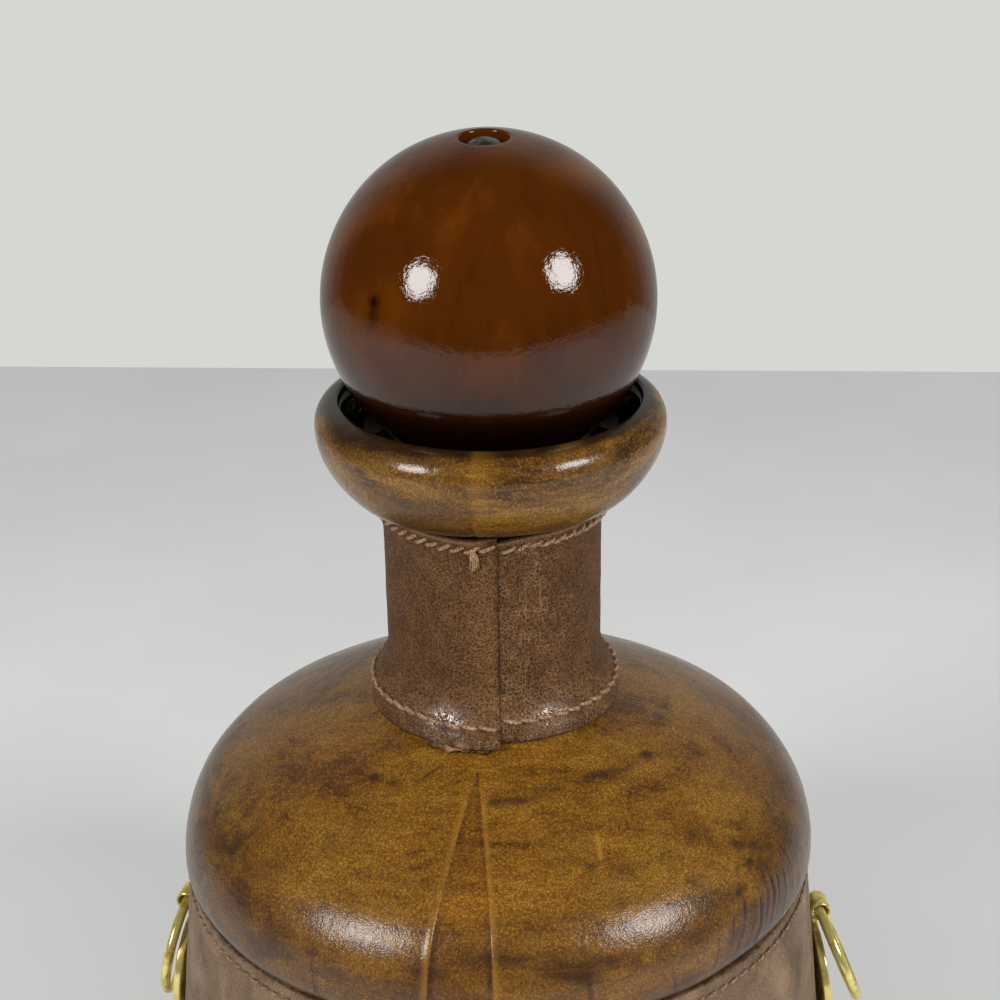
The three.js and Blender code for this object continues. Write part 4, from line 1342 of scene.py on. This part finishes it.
def thread_tail(face):
    """The frayed end of the thread, left of the lap: strands that hang over the leather."""
    r, z = on_strap(*face)[0]
    r += lap_lift(COLLAR_END - 11)
    strands = []
    for start, bend, end, fall in (
        (-0.15, -0.25, -0.7, 4.3),
        (0.0, 0.1, -0.25, 4.8),
        (0.1, 0.45, 0.2, 4.6),
        (0.2, 0.75, 0.65, 4.2),
        (0.25, 0.95, 1.1, 3.6),
    ):
        over, low = (bend, -fall / 3, 0.75), (0.6 * bend + 0.4 * end, -0.7 * fall, 0.6)
        route = through([(start, 0.0, 0.35), over, low, (end, -fall, 0.3)], 0.3)
        path = [
            around(-99.0 + math.degrees(across / r), r + 0.26 * max(down, -4) + height, z + down)
            for across, down, height in route
        ]
        strands.append(tube(path, np.linspace(0.3, 0.16, len(path)), 6))
    return strands


collar_top_run = math.hypot(COLLAR_TOP[0] - COLLAR_RADIUS, COLLAR_TOP_FLARE)
top_face = (COLLAR_UNDER_MOUTH, COLLAR_TOP, collar_top_run - COLLAR_TOP_STITCH_DROP)
foot_line = (collar_flare[4], collar_flare[3], COLLAR_FOOT_STITCH_RISE)
around_collar = COLLAR_LAP_AZIMUTH + 2, COLLAR_END - 1.5, COLLAR_RADIUS + 1.4
top_row = stitches(
    top_face, (3.3, 1.2, 0.26, 0.44), spread_round(*around_collar, 2.75), 81, lap_lift, top_climb
)
foot_row = stitches(
    foot_line,
    (3.5, -0.5, 0.36, 0.5),
    spread_round(*around_collar, 3.25),
    82,
    lap_lift,
    lambda a: 0.75 * hem_climb(a),
)
rows = [
    ("collar_top", top_row + thread_tail(top_face), COLLAR_THREAD),
    ("collar_foot", foot_row, COLLAR_THREAD),
]
around_belt = spread_round(BELT_SEAM_AZIMUTH + 1, BELT_SEAM_AZIMUTH + 359, belt_top[0], 3.1)
for name, up_belt, seed in (
    ("belt_top", BELT_WIDTH - BELT_STITCH_INSET, 83),
    ("belt_foot", BELT_STITCH_INSET, 84),
):
    face = (belt_bottom, belt_top, up_belt)
    rows.append((name, stitches(face, (2.3, 0.35, 0.02, 0.33), around_belt, seed), BELT_THREAD))
for name, row, finish in rows:
    put(f"{name}_stitches", f"{name}_thread", merged(row), "bottle", "thread", finish)

# Stopper
BALL_Z = LIP_CENTRE[1] + math.sqrt((BALL_RADIUS + LIP_RADIUS + BALL_SEAT) ** 2 - LIP_CENTRE[0] ** 2)
BALL_CENTRE = [0, 0, BALL_Z]
CORK_TOP_Z = BALL_Z - BALL_RADIUS - GAP
STEM_TOP_Z = BALL_Z - BALL_RADIUS + STEM_IN_BALL
STEM_BOTTOM_Z = CORK_TOP_Z - STEM_IN_CORK
POCKET_FLOOR = BALL_RADIUS - POCKET_DEPTH
skew = (
    Matrix.Translation((0, 0, BALL_Z))
    @ Matrix.Rotation(math.radians(-SCREW_SKEW_LEFT), 4, "Y")
    @ Matrix.Rotation(math.radians(SCREW_SKEW_FORWARD), 4, "X")
)

# The ball's upper half leans with its pocket, and its lower half stays upright on the cork
hole_r = STEM_RADIUS + GAP
shank_hole_r = SCREW_SHANK_RADIUS + GAP
hole_top = STEM_TOP_Z + GAP - BALL_Z
shank_hole_bottom = STEM_TOP_Z + 1.5 - BALL_Z
start_angle = -math.degrees(math.acos(hole_r / BALL_RADIUS))
pocket_lip_r = POCKET_RADIUS + POCKET_ROUND
pocket_angle = math.degrees(math.acos(pocket_lip_r / BALL_RADIUS))
pocket_turn = (pocket_lip_r, BALL_RADIUS * sin_deg(pocket_angle) - POCKET_ROUND)
ball_path = joined(
    [(0, hole_top), (hole_r, hole_top), (hole_r, BALL_RADIUS * sin_deg(start_angle) + 0.5)],
    arc((0, 0), BALL_RADIUS, start_angle, pocket_angle, 0.9),
    arc(pocket_turn, POCKET_ROUND, 90, 180, 0.15),
    line((POCKET_RADIUS, pocket_turn[1]), (POCKET_RADIUS, POCKET_FLOOR + 0.4), 0.7),
    [(POCKET_RADIUS - 0.4, POCKET_FLOOR), (shank_hole_r, POCKET_FLOOR)],
    [(shank_hole_r, shank_hole_bottom), (0, shank_hole_bottom)],
)
points, faces = lathe(ball_path, 200)
lean = smooth(points[:, 2], -12, 12)[:, None]
points = (points + BALL_CENTRE) * (1 - lean) + placed((points, faces), skew)[0] * lean
outwards = points - BALL_CENTRE
length = np.linalg.norm(outwards, axis=1)[:, None]
on_face = length > BALL_RADIUS - 0.7
rounded = BALL_CENTRE + outwards * (BALL_RADIUS / length) ** (lean * (1 - lean) * 4)
points = np.where(on_face, rounded, points)
points += outwards / length * (0.05 * noise(points, 14, 91) * on_face[:, 0])[:, None]


def on_ball(azimuth, elevation, size):
    """1 at a place on the ball, fading out over about size mm."""
    centre_r, rise = BALL_RADIUS * cos_deg(elevation), BALL_RADIUS * sin_deg(elevation)
    return spot(points, around(azimuth, centre_r, BALL_Z + rise), size)


knot = 1.2 * on_ball(-130.5, 13.1, 1.3) + 0.7 * on_ball(-130.5, 9, 1.1)
knot += 0.4 * on_ball(-131, 5.5, 1.4)
golden = sum(on_ball(*place, 6) for place in ((-40, 68), (-14, 56), (-5, 42), (-4, 28)))
golden = np.clip(golden, 0, 1) * smooth(noise(points, 12, 92), -0.9, 0.4)
# Painted shade: the ball darkens towards its bottom; the knot is the wood's own dark mark.
below = BALL_Z - points[:, 2]
shade = 0.45 * smooth(below + 8, 0, 16) + 0.55 * smooth(below - 5, 0, 13)
fields = {"stain": np.clip(knot + 0.96 * shade, 0, 1), "pale": 0.55 * golden}
shape = points, faces
put("stopper_ball_wood", "stopper_ball", shape, "stopper", "lacquered_wood", BALL_FINISH, fields)

SCREW_PITCH = 1.8
SCREW_GROOVE = 0.35
screw_bottom = POCKET_FLOOR + GAP
screw_tip = screw_bottom - SCREW_LENGTH
threads = []
z = screw_tip + 1.5
while z < screw_bottom - 6:
    threads += [(SCREW_SHANK_RADIUS, z), (SCREW_SHANK_RADIUS - SCREW_GROOVE, z + SCREW_PITCH / 2)]
    z += SCREW_PITCH


def domed(radius, bottom, height):
    """Path points over a low dome."""
    turns = range(0, 91, 6)
    return [(radius * cos_deg(a), bottom + height * sin_deg(a)) for a in turns]


screw_path = joined(
    [(0, screw_tip), (0.9, screw_tip + 0.6)],
    threads,
    [(SCREW_SHANK_RADIUS, screw_bottom), (SCREW_HEAD_RADIUS - 0.2, screw_bottom)],
    [(SCREW_HEAD_RADIUS, screw_bottom + 0.2)],
    domed(SCREW_HEAD_RADIUS, screw_bottom + SCREW_HEAD_HEIGHT, SCREW_HEAD_DOME),
)
shape = placed(lathe(screw_path, 64), skew)
put("stopper_screw_steel", "stopper_screw", shape, "stopper", "screw_steel", STEEL)

stem_end_r = STEM_RADIUS - 0.4
stem_path = joined(
    [(0, STEM_BOTTOM_Z), (stem_end_r, STEM_BOTTOM_Z)],
    line((STEM_RADIUS, STEM_BOTTOM_Z + 0.4), (STEM_RADIUS, STEM_TOP_Z - 0.4), 3),
    [(stem_end_r, STEM_TOP_Z), (0, STEM_TOP_Z)],
)
shape = lathe(stem_path, 64)
put("stopper_stem_dowel", "stopper_stem", shape, "stopper", "bare_wood", BARE_WOOD)

CORK_ROUND = 1.2
top_r = BORE_RADIUS - GAP
bottom_r = top_r - CORK_TAPER
bottom_z = CORK_TOP_Z - CORK_LENGTH
top_turn = (top_r - CORK_ROUND, CORK_TOP_Z - CORK_ROUND)
bottom_turn = (bottom_r - CORK_ROUND, bottom_z + CORK_ROUND)
cork_path = joined(
    line((hole_r, bottom_z), (bottom_turn[0], bottom_z), 0.8),
    arc(bottom_turn, CORK_ROUND, -90, 0, 0.4),
    line((bottom_r, bottom_turn[1]), (top_r, top_turn[1]), 0.5),
    arc(top_turn, CORK_ROUND, 0, 90, 0.4),
    line((top_turn[0], CORK_TOP_Z), (hole_r, CORK_TOP_Z), 0.8),
)
points, faces = lathe(cork_path, 200)
from_axis = off_axis(points)[:, None]
pits = smooth(noise(points * [1, 1, 0.8], 1.8, 95), 0.35, 0.75)[:, None]
points[:, :2] -= points[:, :2] / from_axis * (0.45 * pits) * (from_axis > bottom_r - 0.9)
put("stopper_cork_body", "stopper_cork", (points, faces), "stopper", "cork", CORK)

# Side fittings. Here X runs straight out of the belt, Y along it and Z up its face.
EYE_OUT = EYE_RADIUS + GAP
PLATE_BACK = GAP
PLATE_FRONT = PLATE_BACK + PLATE_THICKNESS
FITTING_Z = BELT_TOP_Z - FITTING_DROP
FITTING_R = cone_r(FITTING_Z, BELT_FACE_DEPTH)
TO_X = Matrix.Rotation(math.radians(90), 4, "Y")
TO_Y = Matrix.Rotation(math.radians(90), 4, "X")
IN_EYE = Matrix.Translation((EYE_OUT, 0, EYE_RISE))


def plate_shape():
    """The round plate with its rim."""
    rim_in = PLATE_RADIUS - PLATE_RIM_WIDTH
    crown = PLATE_FRONT + PLATE_RIM_HEIGHT
    path = joined(
        [(0, PLATE_BACK), (PLATE_RADIUS - 0.2, PLATE_BACK), (PLATE_RADIUS, PLATE_BACK + 0.2)],
        line((PLATE_RADIUS, PLATE_BACK + 0.2), (PLATE_RADIUS, crown - 0.4), 0.5),
        arc((PLATE_RADIUS - 0.4, crown - 0.4), 0.4, 0, 90, 0.12),
        arc((rim_in + 0.3, crown - 0.3), 0.3, 90, 180, 0.1),
        [(rim_in, PLATE_FRONT + 0.02), (rim_in - 0.15, PLATE_FRONT)],
        line((rim_in - 0.15, PLATE_FRONT), (0, PLATE_FRONT + 0.12), 2.5),
    )
    return placed(lathe(path, 96), TO_X)


def eye_shape():
    """The barrel that the ring hangs in."""
    half, edge = EYE_LENGTH / 2, 0.35
    inner, outer, end = EYE_BORE + edge, EYE_RADIUS - edge, half - edge
    path = joined(
        line((EYE_BORE, end), (EYE_BORE, -half + edge), 1),
        arc((inner, -half + edge), edge, 180, 270, 0.15),
        arc((outer, -half + edge), edge, 270, 360, 0.15),
        line((EYE_RADIUS, -half + edge), (EYE_RADIUS, end), 1),
        arc((outer, end), edge, 0, 90, 0.15),
        arc((inner, end), edge, 90, 180, 0.15),
    )
    return placed(lathe(path[:-1], 48), IN_EYE @ TO_Y)


def neck_shape():
    """The tongue from the plate up to the eye, wider at its foot."""
    sides = 24
    middle = (PLATE_BACK + PLATE_FRONT) / 2
    heights = np.linspace(EYE_NECK_FOOT, EYE_RISE, 9)
    points = []
    for height in heights:
        share = (height - EYE_NECK_FOOT) / (EYE_RISE - EYE_NECK_FOOT)
        half_width = EYE_NECK_WIDTH / 2 * (1 + 0.35 * (1 - share) ** 2)
        for turn in np.linspace(0, 360, sides, endpoint=False):
            c, s = cos_deg(turn), sin_deg(turn)
            squarish = (abs(c) ** 4 + abs(s) ** 4) ** -0.25
            out = middle + PLATE_THICKNESS / 2 * c * squarish
            points.append((out, half_width * s * squarish, height))
    return np.array(points), ring_faces(len(heights), sides)


def rivet_shape(side):
    head = PLATE_FRONT + GAP
    dome = RIVET_HEAD_HEIGHT - 0.15
    path = joined(
        [(0, -BELT_LEATHER), (RIVET_SHANK_RADIUS, -BELT_LEATHER)],
        [(RIVET_SHANK_RADIUS, head), (RIVET_HEAD_RADIUS - 0.15, head)],
        [
            (RIVET_HEAD_RADIUS * cos_deg(a), head + 0.15 + dome * sin_deg(a))
            for a in range(0, 91, 9)
        ],
    )
    return placed(lathe(path, 40), Matrix.Translation((0, side * RIVET_SPREAD, 0)) @ TO_X)


def ring_shape():
    """The ring about its eye, a little thinned by wear where it hangs."""
    steps, sides = 144, 28
    points = []
    for i in range(steps):
        a = 360 * i / steps
        bar = RING_BAR * (1 - 0.05 * math.exp(-((((a + 90) % 360 - 180) / 25) ** 2)))
        for j in range(sides):
            b = 360 * j / sides
            r = RING_RADIUS + bar * cos_deg(b)
            points.append((bar * sin_deg(b), r * cos_deg(a), r * sin_deg(a) - RING_RADIUS))
    return np.array(points), ring_faces(steps, sides, closed=True)


for side, (azimuth, ring_angle) in FITTINGS.items():
    face = (
        Matrix.Rotation(math.radians(azimuth), 4, "Z")
        @ Matrix.Translation((FITTING_R, 0, FITTING_Z))
        @ Matrix.Rotation(math.radians(-BELT_LEAN), 4, "Y")
    )
    hang = face @ IN_EYE @ Matrix.Rotation(math.radians(-ring_angle), 4, "Y")
    plate = placed(merged([plate_shape(), eye_shape(), neck_shape()]), face)
    put(f"{side}_plate_brass", f"{side}_eye_plate", plate, "bottle", "brass", BRASS)
    front = -1 if side == "right" else 1
    for end, sign in (("front", front), ("back", -front)):
        rivet = placed(rivet_shape(sign), face)
        put(f"{side}_rivet_{end}_brass", f"{side}_rivet_{end}", rivet, "bottle", "brass", BRASS)
    ring = placed(ring_shape(), hang)
    put(f"{side}_ring_brass", f"{side}_ring", ring, f"{side}_ring_body", "brass", BRASS)


# Floor, light and camera
FLOOR_FAR = 0.5595  # where the table meets the wall, straight behind the bottle
FLOOR_SLANT = -0.0605
FLOOR_NEAR = -0.7
FLOOR_SIDE = 1.3
WALL = (0.838, 0.843, 0.823)
MIRRORED_WALL = (0.66, 0.665, 0.65)
ROOM = (0.1, 0.1, 0.1)
AMBIENT = (0.46, 0.46, 0.46, 1)

f = Finish("floor")
clouds = f.noise(260, 4, 0.55)
pale_tone = f.ramp(clouds, (0.35, (0.862, 0.868, 0.868)), (0.65, (0.887, 0.894, 0.895)))
floor_mesh = bpy.data.meshes.new("floor")
floor_mesh.from_pydata(
    [
        (-FLOOR_SIDE, FLOOR_NEAR, 0),
        (FLOOR_SIDE, FLOOR_NEAR, 0),
        (FLOOR_SIDE, FLOOR_FAR + FLOOR_SLANT * FLOOR_SIDE, 0),
        (-FLOOR_SIDE, FLOOR_FAR - FLOOR_SLANT * FLOOR_SIDE, 0),
    ],
    [],
    [(0, 1, 2, 3)],
)
floor_mesh.materials.append(f.done(Base_Color=pale_tone, Roughness=0.55))
floor = bpy.data.objects.new("floor", floor_mesh)
bpy.context.scene.collection.objects.link(floor)

# The camera sees the wall, glossy faces mirror a darker wall in a dark room, and the rest is
# lit evenly
world = bpy.data.worlds.new("studio")
bpy.context.scene.world = world
world.use_nodes = True
world.node_tree.nodes.clear()
w = Nodes(world.node_tree)
ray = world.node_tree.nodes.new("ShaderNodeLightPath").outputs
back = w.add("SeparateXYZ", "Y", {0: w.add("TexCoord", "Generated")})
mirrored = w.math("MAXIMUM", ray["Is Glossy Ray"], ray["Is Transmission Ray"])
unseen = w.mix(mirrored, AMBIENT, w.mix(w.range(back, 0.35, 0.85), ROOM, MIRRORED_WALL))
seen = w.mix(ray["Is Camera Ray"], unseen, WALL)
output = world.node_tree.nodes.new("ShaderNodeOutputWorld")
w.feed(output.inputs["Surface"], w.add("Background", 0, {"Color": seen}))

LAMPS = {"left lamp": (-0.58, -0.493, 0.549), "right lamp": (0.625, -0.422, 0.564)}
LAMP_TARGET = (0, 0, 0.2)
LAMP_SIZE = 0.3
LAMP_POWER = 5.4
for name, place in LAMPS.items():
    light = bpy.data.lights.new(name, "AREA")
    light.shape = "DISK"
    light.size = LAMP_SIZE
    light.energy = LAMP_POWER
    light.color = (1.0, 0.985, 0.955)
    lamp = bpy.data.objects.new(name, light)
    bpy.context.scene.collection.objects.link(lamp)
    lamp.location = place
    aim = Vector(LAMP_TARGET) - Vector(place)
    lamp.rotation_euler = aim.to_track_quat("-Z", "Y").to_euler()

CAMERA_PLACE = (0.0016, -0.3556, 0.3335)
CAMERA_DOWN = 23.96
CAMERA_ROLL = -0.88
CAMERA_LENS = 68.4
ahead = Vector((0, cos_deg(CAMERA_DOWN), -sin_deg(CAMERA_DOWN)))
upright = Vector((0, sin_deg(CAMERA_DOWN), cos_deg(CAMERA_DOWN)))
level_way = Vector((1, 0, 0))
right = level_way * cos_deg(CAMERA_ROLL) + upright * sin_deg(CAMERA_ROLL)
up = upright * cos_deg(CAMERA_ROLL) - level_way * sin_deg(CAMERA_ROLL)
camera_data = bpy.data.cameras.new("camera")
camera_data.lens = CAMERA_LENS
camera_data.sensor_width = 36
camera_data.clip_start = 0.01
camera = bpy.data.objects.new("camera", camera_data)
bpy.context.scene.collection.objects.link(camera)
turned = Matrix([(right[i], up[i], -ahead[i]) for i in range(3)]).to_4x4()
camera.matrix_world = Matrix.Translation(CAMERA_PLACE) @ turned
bpy.context.scene.camera = camera
bpy.context.scene.view_settings.view_transform = "Standard"
